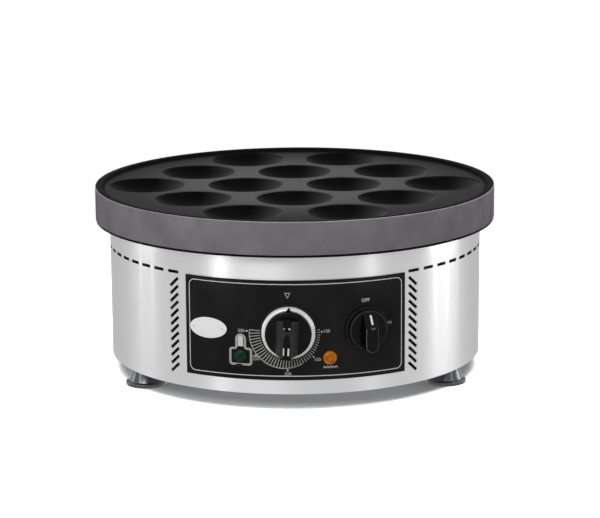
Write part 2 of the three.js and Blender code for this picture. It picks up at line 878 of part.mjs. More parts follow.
const side_screws = [
  [-thermostat_screw_pitch / 2, 0],
  [thermostat_screw_pitch / 2, 0],
];
const upright_screws = [
  [0, -switch_screw_pitch / 2],
  [0, switch_screw_pitch / 2],
];

// The parts of a knob that are round: skirt, cap, hollow back and hub.
function knob_round(skirt_d, cap_d, face) {
  const cap_r = cap_d / 2;
  const ceiling = knob_lift + knob_hollow;
  return turned(
    [
      [0, knob_lift],
      [knob_hub_d / 2, knob_lift],
      [knob_hub_d / 2, ceiling],
      [cap_r - knob_wall, ceiling],
      [cap_r - knob_wall, knob_lift],
      [skirt_d / 2, knob_lift],
      [skirt_d / 2, knob_lift + knob_skirt_t],
      [cap_r, knob_lift + knob_skirt_t],
      [cap_r, face - knob_edge],
      [cap_r - knob_edge, face],
      [0, face],
    ],
    knob_steps,
  );
}

function make_thermostat() {
  const place = group_at(panel_place(thermostat_x, knob_y));
  const body = control_body(thermostat_w, thermostat_h, thermostat_depth, thermostat_bush_d, side_screws);
  piece("thermostat_body", place, body, zinc);
  side_screws.forEach(([x, y], i) => {
    const mesh = piece("thermostat_screw_" + ["left", "right"][i], place, face_screw(thermostat_w), zinc);
    mesh.position.set(x, y, 0);
  });
  const shaft_front = grip_front - grip_wall;
  piece("thermostat_shaft", place, shaft_solid(shaft_back(thermostat_w), shaft_front), zinc);

  const grip_section = outline([
    [-grip_foot_w / 2, knob_face - sunk],
    [grip_foot_w / 2, knob_face - sunk],
    [grip_front_w / 2, grip_front - grip_edge],
    [grip_front_w / 2 - grip_edge, grip_front],
    [-grip_front_w / 2 + grip_edge, grip_front],
    [-grip_front_w / 2, grip_front - grip_edge],
  ]);
  const grip = solid(plate(grip_section, -grip_up, grip_down).rotateX(Math.PI / 2));
  const grip_r = (grip_up + grip_down) / 2;
  const grip_end = turned(
    [
      [0, 0],
      [grip_r, 0],
      [grip_r - grip_edge, grip_front + over],
      [0, grip_front + over],
    ],
    knob_steps,
  ).translate(0, grip_up - grip_r, 0);
  const ring_front = knob_lift + knob_skirt_t + seat + knob_ring_h;
  const pointer = outline([
    [-pointer_w / 2, knob_cap_d / 2 - knob_wall],
    [pointer_w / 2, knob_cap_d / 2 - knob_wall],
    [0, pointer_reach],
  ]);
  const knob = solid(knob_round(knob_skirt_d, knob_cap_d, knob_face))
    .add(grip.intersect(solid(grip_end)))
    .add(solid(plate(pointer, ring_front + seat, knob_face)))
    .subtract(solid(bore(shaft_d / 2 + fit, 0, shaft_front + seat, small_steps)));
  piece("thermostat_knob", place, knob, knob_black);

  const edge = knob_ring_edge;
  const ring_in = knob_cap_d / 2 + seat;
  const ring_out = knob_ring_d / 2;
  const ring_back = ring_front - knob_ring_h;
  const bright = turned(
    [
      [ring_in, ring_back],
      [ring_out, ring_back],
      [ring_out, ring_front - edge],
      [ring_out - edge, ring_front],
      [ring_in + edge, ring_front],
      [ring_in, ring_front - edge],
    ],
    knob_steps,
  );
  piece("thermostat_knob_ring", place, bright, chrome);
}

function make_switch() {
  const place = group_at(panel_place(switch_x, knob_y));
  const body = control_body(switch_w, switch_w, switch_depth, switch_bush_d, upright_screws);
  piece("switch_body", place, body, nylon);
  upright_screws.forEach(([x, y], i) => {
    const mesh = piece("switch_screw_" + ["lower", "upper"][i], place, face_screw(switch_w), zinc);
    mesh.position.set(x, y, 0);
  });
  const shaft_front = switch_bar_front - grip_wall;
  piece("switch_shaft", place, shaft_solid(shaft_back(switch_w), shaft_front), zinc);

  const half = switch_bar_w / 2;
  const end_y = -switch_bar_reach + half;
  const front = new THREE.Shape();
  front.moveTo(half, end_y);
  front.lineTo(half, switch_slope_end);
  front.lineTo(-half, switch_slope_end);
  front.lineTo(-half, end_y);
  front.absarc(0, end_y, half, Math.PI, full_turn, false);
  const bar = solid(plate(front, switch_face - sunk, switch_bar_front, hole_steps));
  const edge = switch_bar_edge;
  const side = outline([
    [-switch_cap_d, 0],
    [switch_slope_end + over, 0],
    [switch_slope_end + over, switch_face + switch_slope_foot],
    [switch_slope_end, switch_face + switch_slope_foot],
    [switch_slope_start, switch_bar_front],
    [-switch_bar_reach + edge, switch_bar_front],
    [-switch_bar_reach, switch_bar_front - edge],
    [-switch_cap_d, switch_bar_front - edge],
  ]);
  const wedge = plate(side, -switch_bar_w, switch_bar_w).rotateZ(Math.PI / 2).rotateY(Math.PI / 2);
  const knob = solid(knob_round(switch_skirt_d, switch_cap_d, switch_face))
    .add(bar.intersect(solid(wedge)))
    .subtract(solid(bore(shaft_d / 2 + fit, 0, shaft_front + seat, small_steps)));
  piece("switch_knob", place, knob, knob_black);
}

// Signal lamps: a hollow lens over the front of a body that goes through panel and shell
function make_lamp(name, x, y, lens_d, look) {
  const place = group_at(panel_place(x, y));
  const lens_r = lens_d / 2;
  const hollow_r = lamp_d / 2 + fit;
  const dome_r = lens_r - lens_wall / 2;
  const dome = repeat(lens_steps + 1, (i) => {
    const a = (Math.PI / 2) * (i / lens_steps);
    return [dome_r * Math.cos(a), seat + lens_t + lens_rise * Math.sin(a)];
  });
  dome[lens_steps][0] = 0;
  const lens = turned([
    [0, lamp_out + seat],
    [hollow_r, lamp_out + seat],
    [hollow_r, seat],
    [lens_r, seat],
    [lens_r, seat + lens_t],
    ...dome,
  ]);
  piece(name + "_lens", place, lens, look);
  piece(name + "_lamp_body", place, rod(lamp_d / 2, -lamp_in, lamp_out), white);
  const nut_front = shell_back - sag(shell_in_r, lamp_nut_d / 2) - seat;
  piece(name + "_lamp_nut", place, ring(hollow_r, lamp_nut_d / 2, nut_front - lamp_nut_t, nut_front), nylon);
}

// Sensing bulb on the plate's underside, its clip on the clamp's rear arm, and its capillary
function make_sensor() {
  const bulb = rod(bulb_d / 2, -bulb_l / 2, bulb_l / 2, hole_steps).rotateY(Math.PI / 2);
  const bulb_mesh = piece("sensing_bulb", maker, bulb, zinc);
  bulb_mesh.position.set(0, bulb_y, bulb_z);

  const clip_low = clamp_top + seat;
  const clip_top = bulb_z;
  const clip_d = bulb_d + 2 * seat + 2 * clip_t;
  const channel = block(clip_w + 2 * over, bulb_d + 2 * seat, bulb_d).translate(0, bulb_y, bulb_z - seat);
  const clip = block(clip_w, clip_d, clip_top - clip_low).translate(0, bulb_y, (clip_low + clip_top) / 2);
  piece("bulb_clip", maker, cut(clip, [channel]), zinc);

  const thermostat_turn = thermostat_x / panel_r;
  const socket_r = panel_r + body_front(thermostat_w) - thermostat_depth / 2;
  const socket_z = panel_mid + knob_y + thermostat_h / 2 + seat;
  const socket = on_circle(socket_r, thermostat_turn, socket_z);
  const end_r = capillary_d / 2;
  const bend = capillary_turn / 2;
  const under = pan_low - capillary_turn;
  const low = (under + socket_z) / 2;
  const route = new THREE.CatmullRomCurve3([
    new THREE.Vector3(-bulb_l / 2 - seat, bulb_y, bulb_z),
    new THREE.Vector3(-bulb_l / 2 - bend, bulb_y, bulb_z - end_r),
    new THREE.Vector3(drop_x, bulb_y, bulb_z - capillary_turn),
    new THREE.Vector3(drop_x, bulb_y, pan_floor),
    new THREE.Vector3(drop_x, bulb_y, under),
    new THREE.Vector3(drop_x, bulb_y / 2, low),
    new THREE.Vector3((drop_x + socket.x) / 2, socket.y / 2, low),
    new THREE.Vector3(socket.x, socket.y + capillary_turn, low),
    new THREE.Vector3(socket.x, socket.y, socket_z + bend),
    socket,
  ]);
  piece("capillary_tube", maker, tube(route, capillary_d, capillary_steps), brass);
}

// Terminal block on the base plate
const block_screw_places = () =>
  [-1, 1].map((side) => new THREE.Vector3((side * block_screw_pitch) / 2, block_y, 0));

function make_terminal() {
  const low = base_top + seat;
  const top = low + block_h;
  const body = block(block_w, block_d, block_h).translate(0, block_y, (low + top) / 2);
  const step = block_w / (block_ways + 1);
  const ways = repeat(block_ways, (i) =>
    rod(block_bore_d / 2, -block_d, block_d, hole_steps)
      .rotateX(Math.PI / 2)
      .translate((i - (block_ways - 1) / 2) * step, block_y, (low + top) / 2),
  );
  const wells = block_screw_places().map((at) =>
    bore(block_screw_d / 2 + fit, low - over, top + over).translate(at.x, at.y, 0),
  );
  piece("terminal_block", maker, cut(body, [...ways, ...wells]), cream);
  block_screw_places().forEach((at, i) => {
    const screw = pan_screw(block_screw_d, -top - seat, -base_low, block_head_d, block_head_h);
    const mesh = piece("terminal_screw_" + (i + 1), maker, screw.rotateX(Math.PI), zinc);
    mesh.position.copy(at);
  });
}

// Cable gland through the back of the shell
const gland_place = () => wall_place(shell_r, Math.PI, shell_low + gland_z);

function make_gland() {
  const place = group_at(gland_place());
  const bore_r = gland_bore_d / 2;
  const hex_low = seat;
  const hex_top = hex_low + gland_hex_h;
  const barrel_top = hex_top + gland_barrel_l;
  const pocket_low = barrel_top - gland_pocket_l;
  const through = rod(bore_r, -gland_in - over, barrel_top + over, small_steps);
  const pocket = rod(gland_pocket_d / 2, pocket_low, barrel_top + over, small_steps);
  const body = joined([
    hexagon(gland_hex_af, hex_low, hex_top),
    rod(gland_thread_d / 2, -gland_in, hex_low + sunk),
    rod(gland_barrel_d / 2, hex_top - sunk, barrel_top),
  ]);
  piece("gland_body", place, body.subtract(solid(through)).subtract(solid(pocket)), nylon);

  const seal_r = gland_pocket_d / 2 - fit;
  piece("gland_seal", place, ring(bore_r, seal_r, pocket_low + seat, barrel_top), rubber);

  const nut_low = hex_top + gland_nut_gap;
  const nut_top = nut_low + gland_nut_l;
  const nut_r = gland_nut_d / 2;
  const room_r = gland_barrel_d / 2 + fit;
  const dome = turned([
    [bore_r, barrel_top + seat],
    [room_r, barrel_top + seat],
    [room_r, nut_low],
    [nut_r, nut_low],
    [nut_r, nut_top - gland_nut_edge],
    [nut_r - gland_nut_edge, nut_top],
    [bore_r, nut_top],
  ]);
  piece("gland_nut", place, dome, nylon);

  const lock_front = -sheet - wall_facet - sag(shell_in_r, gland_locknut_af / 2) - seat;
  const lock = nut(gland_locknut_af, lock_front - gland_locknut_t, lock_front, gland_thread_d);
  piece("gland_locknut", place, lock, nylon);
}

// Leads inside the body, each with its two ends as [place, direction it leaves in]
function spade_end(x, w, depth, side) {
  const turn = x / panel_r;
  const r = panel_r + body_front(w) - depth - spade_l - seat;
  const at = on_circle(r, turn, panel_mid + knob_y).addScaledVector(round(turn), (side * spade_pitch) / 2);
  return [at, outward(turn).negate()];
}

function block_end(way) {
  const step = block_w / (block_ways + 1);
  const z = base_top + seat + block_h / 2;
  return [new THREE.Vector3(way * step, block_y - block_d / 2 - seat, z), outward(0)];
}

const leg_end = (leg) => [leg.clone().setZ(leg.z - seat), up.clone().negate()];

function make_lead(name, [from, from_way], [to, to_way], look) {
  const leave = from.clone().addScaledVector(from_way, lead_run);
  const arrive = to.clone().addScaledVector(to_way, lead_run);
  const middle = leave.clone().lerp(arrive, 1 / 2);
  middle.z -= lead_sag;
  const route = new THREE.CatmullRomCurve3([from, leave, middle, arrive, to]);
  piece(name, maker, tube(route, lead_d, lead_steps), look);
}

function make_leads() {
  const [outer_leg, inner_leg] = element_legs();
  const thermostat_end = (side) => spade_end(thermostat_x, thermostat_w, thermostat_depth, side);
  const switch_end = (side) => spade_end(switch_x, switch_w, switch_depth, side);
  make_lead("lead_thermostat_to_element", leg_end(outer_leg), thermostat_end(1), lead_brown);
  make_lead("lead_element_to_terminal", leg_end(inner_leg), block_end(0), lead_blue);
  make_lead("lead_terminal_to_switch", block_end(1), switch_end(1), lead_brown);
  make_lead("lead_switch_to_thermostat", switch_end(-1), thermostat_end(-1), lead_brown);
}

make_plate();
make_plate_fixings();
make_element();
make_pan();
make_sensor();
make_shell();
make_base();
make_feet();
make_panel();
make_thermostat();
make_switch();
make_lamp("green", green_x, green_y, green_lens_d, green);
make_lamp("amber", amber_x, amber_y, amber_lens_d, amber);
make_terminal();
make_gland();
make_leads();

export default maker;
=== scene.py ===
import json
import math

import bmesh
import bpy
from mathutils import Matrix, Vector


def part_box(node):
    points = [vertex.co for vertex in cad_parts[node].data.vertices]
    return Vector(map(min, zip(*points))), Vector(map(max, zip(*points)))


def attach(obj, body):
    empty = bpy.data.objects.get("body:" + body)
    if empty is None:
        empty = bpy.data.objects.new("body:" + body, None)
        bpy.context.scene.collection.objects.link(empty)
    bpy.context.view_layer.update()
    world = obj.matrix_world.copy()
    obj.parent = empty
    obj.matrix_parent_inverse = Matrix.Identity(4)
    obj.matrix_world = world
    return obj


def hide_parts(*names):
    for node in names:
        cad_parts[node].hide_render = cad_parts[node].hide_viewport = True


# Electric pancake maker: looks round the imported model. Metres, +Z up, the front faces -Y.

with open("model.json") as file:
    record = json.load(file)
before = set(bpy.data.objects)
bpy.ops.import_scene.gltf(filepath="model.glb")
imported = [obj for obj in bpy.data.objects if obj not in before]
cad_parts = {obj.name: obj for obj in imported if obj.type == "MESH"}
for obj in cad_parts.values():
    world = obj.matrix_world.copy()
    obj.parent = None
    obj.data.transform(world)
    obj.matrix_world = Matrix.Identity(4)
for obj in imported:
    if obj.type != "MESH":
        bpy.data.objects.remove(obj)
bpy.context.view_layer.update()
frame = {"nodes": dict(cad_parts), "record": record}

MM = 0.001
over = 2 * MM  # how far a cutter runs past the face it cuts
tiny = 0.001 * MM
smooth_angle = math.radians(35)

# Body
wall_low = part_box("body_shell")[0].z
wall_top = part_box("body_shell")[1].z
plate_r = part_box("cooking_plate")[1].x
plate_low = wall_top + 1.7 * MM
plate_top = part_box("cooking_plate")[1].z
shell_r = 186 * MM
sheet = 1.2 * MM
panel_r = 187.3 * MM
panel_low, panel_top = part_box("control_panel")[0].z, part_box("control_panel")[1].z
panel_mid = (panel_low + panel_top) / 2
panel_t = 1 * MM
panel_half_turn = math.asin(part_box("control_panel")[1].x / panel_r)


def middle(node):
    low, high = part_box(node)
    return (low + high) / 2


def on_panel(place):
    """How far along the panel's face a place lies, and how far up, from the panel's middle."""
    return math.atan2(place[0], -place[1]) * panel_r, place[2] - panel_mid


joint_places = {joint["name"]: joint["pos_m"] for joint in frame["record"]["behaviour"]["joints"]}
thermostat_x, knob_y = on_panel(joint_places["thermostat_turn"])
switch_x = on_panel(joint_places["switch_turn"])[0]
green_x, green_y = on_panel(middle("green_lens"))
amber_x, amber_y = on_panel(middle("amber_lens"))
badge_x, badge_y = on_panel(middle("badge"))
gland_z = middle("gland_body").z


# Modelling steps: select, edit, apply


def clear():
    bpy.ops.object.select_all(action="DESELECT")


def pick(piece):
    clear()
    piece.select_set(True)
    bpy.context.view_layer.objects.active = piece


def edit(piece, mode="FACE"):
    pick(piece)
    bpy.ops.object.mode_set(mode="EDIT")
    bpy.ops.mesh.select_mode(type=mode)


def done():
    bpy.ops.object.mode_set(mode="OBJECT")


def choose_all():
    bpy.ops.mesh.select_all(action="SELECT")


def pull(step):
    """Extrudes what is selected by a step."""
    bpy.ops.mesh.extrude_region_move(TRANSFORM_OT_translate={"value": step})


def close_up():
    """Turns every face outward and leaves edit mode."""
    choose_all()
    bpy.ops.mesh.normals_make_consistent(inside=False)
    done()


def choose(piece, test):
    """In edit mode, selects the faces that pass the test."""
    mesh = bmesh.from_edit_mesh(piece.data)
    for face in mesh.faces:
        face.select_set(test(face))
    bmesh.update_edit_mesh(piece.data)


def apply_place(piece, matrix=None):
    pick(piece)
    if matrix is not None:
        piece.matrix_world = matrix @ piece.matrix_world
    bpy.ops.object.transform_apply(location=True, rotation=True, scale=True)
    return piece


def apply_modifier(piece, kind, **settings):
    pick(piece)
    modifier = piece.modifiers.new(kind.lower(), kind)
    for key, value in settings.items():
        setattr(modifier, key, value)
    bpy.ops.object.modifier_apply(modifier=modifier.name)


def soften(piece, angle=smooth_angle):
    pick(piece)
    bpy.ops.object.shade_smooth_by_angle(angle=angle)


def traced(name, points, closed=True):
    """Draws an outline point by point, from a small plane merged to one. Stays in edit mode."""
    clear()
    bpy.ops.mesh.primitive_plane_add(size=MM, location=points[0])
    piece = bpy.context.object
    piece.name = piece.data.name = name
    edit(piece, "VERT")
    choose_all()
    bpy.ops.mesh.merge(type="CENTER")
    ends = points + points[:1] if closed else points
    for here, there in zip(ends, ends[1:]):
        step = Vector(there) - Vector(here)
        bpy.ops.mesh.extrude_vertices_move(TRANSFORM_OT_translate={"value": step})
    choose_all()
    bpy.ops.mesh.remove_doubles(threshold=tiny)
    return piece


def turned(name, points, steps, turn=math.tau, closed=None):
    """An outline of (radius, height) points spun round Z."""
    if closed is None:
        closed = points[0][0] > tiny
    piece = traced(name, [(r, 0, z) for r, z in points], closed)
    bpy.ops.mesh.spin(steps=steps, angle=turn, center=(0, 0, 0), axis=(0, 0, 1))
    if turn < math.tau:
        choose_all()
        bpy.ops.mesh.remove_doubles(threshold=tiny)
        bpy.ops.mesh.select_non_manifold(extend=False)
        bpy.ops.mesh.edge_face_add()
    choose_all()
    bpy.ops.mesh.remove_doubles(threshold=tiny)
    close_up()
    return apply_place(piece)


def raised(name, points, low, high):
    """A closed outline of (x, y) points filled and pulled up from low to high."""
    piece = traced(name, [(x, y, low) for x, y in points])
    bpy.ops.mesh.edge_face_add()
    pull((0, 0, high - low))
    close_up()
    return apply_place(piece)


def block(name, size, at):
    clear()
    bpy.ops.mesh.primitive_cube_add(size=1, location=at)
    piece = bpy.context.object
    piece.name = piece.data.name = name
    piece.scale = size
    return apply_place(piece)


def round_edges(piece, width, steps=2, angle=30):
    apply_modifier(
        piece, "BEVEL", width=width, segments=steps, limit_method="ANGLE",
        angle_limit=math.radians(angle), harden_normals=False,
    )


def joined(name, pieces):
    clear()
    for piece in pieces:
        piece.select_set(True)
    bpy.context.view_layer.objects.active = pieces[0]
    bpy.ops.object.join()
    pieces[0].name = pieces[0].data.name = name
    return pieces[0]


def combine(piece, others, operation="DIFFERENCE"):
    """Cuts the others out of the piece, melts them into it or keeps what they share."""
    tool = joined("tool", others)
    apply_modifier(piece, "BOOLEAN", object=tool, operation=operation, solver="EXACT")
    bpy.data.objects.remove(tool)
    return piece


def copied(piece, matrix):
    twin = piece.copy()
    twin.data = piece.data.copy()
    bpy.context.scene.collection.objects.link(twin)
    twin.data.transform(matrix)
    return twin


def rounded(corners, steps=4, closed=True):
    """Points of an outline whose corners are (x, y) or (x, y, fillet radius)."""
    points = []
    count = len(corners)
    for i, corner in enumerate(corners):
        here = Vector(corner[:2])
        fillet = corner[2] if len(corner) > 2 else 0
        if not fillet or (not closed and i in (0, count - 1)):
            points.append(tuple(here))
            continue
        back = (Vector(corners[i - 1][:2]) - here).normalized()
        ahead = (Vector(corners[(i + 1) % count][:2]) - here).normalized()
        half = back.angle(ahead) / 2
        centre = here + (back + ahead).normalized() * fillet / math.sin(half)
        first = here + back * fillet / math.tan(half) - centre
        last = here + ahead * fillet / math.tan(half) - centre
        sweep = first.angle(last)
        for k in range(steps + 1):
            a = sweep * k / steps
            mix = first * math.sin(sweep - a) + last * math.sin(a)
            points.append(tuple(centre + mix / math.sin(sweep)))
    return points


def scaled(points):
    """Points in millimetres, in metres."""
    return [tuple(value * MM for value in point) for point in points]


def off_axis(place):
    """How far a place lies from the Z axis."""
    return math.hypot(place.x, place.y)


def turn_z(angle):
    return Matrix.Rotation(angle, 4, "Z")


def shift(x, y, z):
    return Matrix.Translation((x, y, z))


def wall_place(radius, turn, z):
    """From a face's own frame, x right, y up and z outward, to its place on the round wall."""
    return turn_z(turn) @ shift(0, -radius, z) @ Matrix.Rotation(math.pi / 2, 4, "X")


def panel_place(x, y):
    return wall_place(panel_r, x / panel_r, panel_mid + y)


# Finishes

grain_detail = 3
grain_rough = 0.55


def node_of(tree, kind, **settings):
    node = tree.nodes.new(kind)
    for key, value in settings.items():
        setattr(node, key, value)
    return node


def noise(tree, scale, stretch):
    """A noise pattern on the piece's own coordinates, with features 1 / scale metres wide."""
    place = node_of(tree, "ShaderNodeTexCoord")
    mapping = node_of(tree, "ShaderNodeMapping")
    mapping.inputs["Scale"].default_value = stretch
    pattern = node_of(tree, "ShaderNodeTexNoise")
    pattern.inputs["Scale"].default_value = scale
    pattern.inputs["Detail"].default_value = grain_detail
    pattern.inputs["Roughness"].default_value = grain_rough
    tree.links.new(place.outputs["Object"], mapping.inputs["Vector"])
    tree.links.new(mapping.outputs["Vector"], pattern.inputs["Vector"])
    return pattern.outputs["Fac"]


def ramp(tree, value, low, high, start=0.3, end=0.7):
    """Two colours, from low where the value is at start to high where it is at end."""
    node = node_of(tree, "ShaderNodeValToRGB")
    node.color_ramp.elements[0].position = start
    node.color_ramp.elements[0].color = (*low, 1)
    node.color_ramp.elements[1].position = end
    node.color_ramp.elements[1].color = (*high, 1)
    tree.links.new(value, node.inputs["Fac"])
    return node.outputs["Color"]


def spread(tree, value, low, high, start=0.3, end=0.7, way="LINEAR"):
    """A number, from low where the value is at start to high where it is at end."""
    node = node_of(tree, "ShaderNodeMapRange", interpolation_type=way)
    node.inputs["From Min"].default_value = start
    node.inputs["From Max"].default_value = end
    node.inputs["To Min"].default_value = low
    node.inputs["To Max"].default_value = high
    tree.links.new(value, node.inputs["Value"])
    return node.outputs["Result"]


def bump(tree, value, height):
    node = node_of(tree, "ShaderNodeBump")
    node.inputs["Strength"].default_value = 1
    node.inputs["Distance"].default_value = height
    tree.links.new(value, node.inputs["Height"])
    return node.outputs["Normal"]


def finish(name, low, high, rough, grain, metal=0.0, specular=0.5, stretch=(1, 1, 1), height=0):
    """A finish that varies between two colours and two roughnesses along its grain."""
    material = bpy.data.materials.new(name)
    material.use_nodes = True
    tree = material.node_tree
    shader = tree.nodes["Principled BSDF"]
    shader.inputs["Metallic"].default_value = metal
    shader.inputs["Specular IOR Level"].default_value = specular
    pattern = noise(tree, grain, stretch)
    tree.links.new(ramp(tree, pattern, low, high), shader.inputs["Base Color"])
    tree.links.new(spread(tree, pattern, *rough), shader.inputs["Roughness"])
    if height:
        tree.links.new(bump(tree, pattern, height), shader.inputs["Normal"])
    material.diffuse_color = (*high, 1)
    return material


def grain_round(material):
    """Brushed round the body, so that a highlight runs up and down."""
    tree = material.node_tree
    shader = tree.nodes["Principled BSDF"]
    grain = node_of(tree, "ShaderNodeTangent", direction_type="RADIAL", axis="Z")
    tree.links.new(grain.outputs["Tangent"], shader.inputs["Tangent"])
    shader.inputs["Specular Tint"].default_value = (0.7, 0.7, 0.7, 1)
    shader.inputs["Anisotropic"].default_value = 0.8
    shader.inputs["Anisotropic Rotation"].default_value = 0.25


def grey(value):
    return (value, value, value)


def tone(tree, value, low, high):
    """Adds a colour to the grain, from low where the value is 0 to high where it is 1."""
    shader = tree.nodes["Principled BSDF"]
    grain = shader.inputs["Base Color"].links[0].from_socket
    mix = node_of(tree, "ShaderNodeMix", data_type="RGBA", blend_type="ADD")
    mix.inputs["Factor"].default_value = 1
    tree.links.new(grain, mix.inputs["A"])
    tree.links.new(ramp(tree, value, low, high, 0, 1), mix.inputs["B"])
    tree.links.new(mix.outputs["Result"], shader.inputs["Base Color"])


def painted_centre_sheen(material, reach, high):
    """Paints a sheen on the coating, greyer towards the plate's middle."""
    tree = material.node_tree
    place = node_of(tree, "ShaderNodeTexCoord")
    mapping = node_of(tree, "ShaderNodeMapping")
    mapping.inputs["Location"].default_value = (0, 0, -plate_top / reach)
    mapping.inputs["Scale"].default_value = (1 / reach, 1 / reach, 1 / reach)
    nearness = node_of(tree, "ShaderNodeTexGradient", gradient_type="SPHERICAL")
    tree.links.new(place.outputs["Object"], mapping.inputs["Vector"])
    tree.links.new(mapping.outputs["Vector"], nearness.inputs["Vector"])
    share = spread(tree, nearness.outputs["Fac"], 0, 1, 0.05, 0.6, "SMOOTHSTEP")
    tone(tree, share, grey(0), high)


def painted_light_from_left(material, high):
    """Paints light on the faces that look to the left, as if lit from the left: the right side of
    each bowl is greyer.
    """
    tree = material.node_tree
    face = node_of(tree, "ShaderNodeNewGeometry")
    parts = node_of(tree, "ShaderNodeSeparateXYZ")
    tree.links.new(face.outputs["Normal"], parts.inputs["Vector"])
    share = spread(tree, parts.outputs["X"], 1, 0, -0.75, -0.04, "SMOOTHSTEP")
    tone(tree, share, grey(0), high)


coating_grain = 900
coating_shine = 0.004
coating_bump = 0.015 * MM
knob_bump = 0.004 * MM

steel_look = finish(
    "brushed_steel", grey(0.55), grey(0.59), (0.3, 0.36), 1, metal=1,
    stretch=(15, 15, 2500), height=0.0008 * MM,
)
grain_round(steel_look)
coating_with_sheen_look = finish(
    "non_stick_coating_painted_sheen", grey(0.003), grey(0.006), (0.24, 0.32), coating_grain,
    specular=0.003, height=coating_bump,
)
# Painted sheen on the lands, greyer towards the plate's middle.
painted_centre_sheen(coating_with_sheen_look, 0.19, grey(0.075))
# Bowls: coating painted darker than the lands as painted shade, and greyer on their right sides as
# painted light.
bowl_shade_and_light_look = finish(
    "bowl_coating_painted_shade_and_light", grey(0.001), grey(0.003), (0.3, 0.4), coating_grain,
    specular=coating_shine, height=coating_bump,
)
painted_light_from_left(bowl_shade_and_light_look, grey(0.052))
rim_look = finish(
    "rim_coating", grey(0.004), grey(0.007), (0.5, 0.6), coating_grain,
    specular=coating_shine, height=coating_bump,
)
rim_top_look = finish(
    "rim_top_coating", grey(0.004), grey(0.008), (0.45, 0.55), coating_grain,
    specular=coating_shine, height=coating_bump,
)
casting_look = finish(
    "machined_casting", (0.18, 0.172, 0.181), (0.24, 0.229, 0.241), (0.55, 0.65), 36,
    specular=0.0, height=0.05 * MM,
)
casting_edge_look = finish(
    "machined_edge", grey(0.2), grey(0.28), (0.4, 0.5), 200, metal=0.4,
)
panel_look = finish(
    "panel_film", grey(0.001), grey(0.012), (0.3, 0.4), 14, specular=0.08,
)
print_look = finish("panel_print", grey(0.62), grey(0.72), (0.5, 0.6), 700)
pale_print_look = finish(
    "pale_print", (0.35, 0.345, 0.335), (0.44, 0.435, 0.42), (0.5, 0.6), 700,
)
badge_look = finish("badge_enamel", grey(0.94), grey(0.97), (0.25, 0.35), 200)
knob_look = finish(
    "knob_moulding", grey(0.002), grey(0.004), (0.2, 0.3), 400, specular=0.09, height=knob_bump,
)
# A lighter copy of the knob moulding: painted sheen on grip flanks and tops, painted highlight on
# rims.
knob_painted_sheen_look = finish(
    "knob_painted_sheen", grey(0.024), grey(0.036), (0.35, 0.45), 400, specular=0.1, height=knob_bump,
)
# Painted highlight on the switch bar's lower front edges.
knob_edge_highlight_look = finish("knob_edge_painted_highlight", grey(0.13), grey(0.19), (0.3, 0.4), 500, specular=0.2)
# Painted highlight: a grey arc where the switch bar's front meets its slope.
hook_highlight_look = finish("knob_painted_highlight_arc", grey(0.18), grey(0.24), (0.4, 0.5), 600)
# White of the switch knob's pointer line, and of the painted highlights on the thermostat's grip.
mark_and_highlight_look = finish("knob_mark_and_painted_highlight", grey(0.8), grey(0.88), (0.4, 0.5), 600)
ring_look = finish("satin_ring", grey(0.66), grey(0.74), (0.24, 0.32), 90, metal=0.5)
rubber_look = finish(
    "moulded_rubber", (0.011, 0.013, 0.019), (0.018, 0.021, 0.03), (0.18, 0.26), 600,
    specular=0.9, height=0.004 * MM,
)
# Black of the guessed seal, which also stands in for the shade under the plate's edge.
seal_and_shade_look = finish("seal_rubber_and_painted_shade", grey(0.004), grey(0.007), (0.6, 0.7), 500, specular=0.02)
zinc_look = finish(
    "zinc_plate", (0.42, 0.43, 0.45), (0.52, 0.53, 0.54), (0.35, 0.5), 150, metal=1,
)
element_look = finish(
    "oxidised_sheath", (0.06, 0.05, 0.045), (0.14, 0.12, 0.11), (0.45, 0.65), 220, metal=0.5,
)
fibre_look = finish(
    "mineral_fibre", (0.72, 0.68, 0.58), (0.85, 0.82, 0.74), (0.9, 1), 500, specular=0.1,
    height=0.2 * MM,
)
brass_look = finish("drawn_brass", (0.5, 0.33, 0.14), (0.6, 0.4, 0.18), (0.3, 0.42), 300, metal=1)
nylon_look = finish(
    "moulded_nylon", grey(0.016), grey(0.026), (0.45, 0.58), 500, specular=0.4, height=0.01 * MM,
)
lamp_look = finish("lamp_body", grey(0.75), grey(0.82), (0.4, 0.5), 300)
cream_look = finish(
    "terminal_moulding", (0.66, 0.6, 0.46), (0.74, 0.69, 0.55), (0.45, 0.55), 300,
)
brown_lead_look = finish(
    "brown_sleeve", (0.12, 0.04, 0.018), (0.16, 0.06, 0.025), (0.5, 0.65), 800,
)
blue_lead_look = finish(
    "blue_sleeve", (0.025, 0.08, 0.32), (0.035, 0.1, 0.38), (0.5, 0.65), 800,
)


def lens(name, low, high, glow):
    """A coloured lens: a glossy face with a faint glow of its own."""
    material = finish(name, low, high, (0.08, 0.14), 260, specular=0.1)
    shader = material.node_tree.nodes["Principled BSDF"]
    shader.inputs["Emission Color"].default_value = (*high, 1)
    shader.inputs["Emission Strength"].default_value = glow
    return material


green_look = lens("green_lens", (0.0004, 0.012, 0.003), (0.001, 0.04, 0.009), 0.02)
amber_look = lens("amber_lens", (0.36, 0.1, 0.0005), (0.6, 0.2, 0.001), 0.08)
# Darker amber for the lens's rings: painted shade.
amber_painted_shade_look = lens(
    "amber_lens_painted_shade", (0.26, 0.062, 0.0004), (0.42, 0.11, 0.0008), 0.05,
)

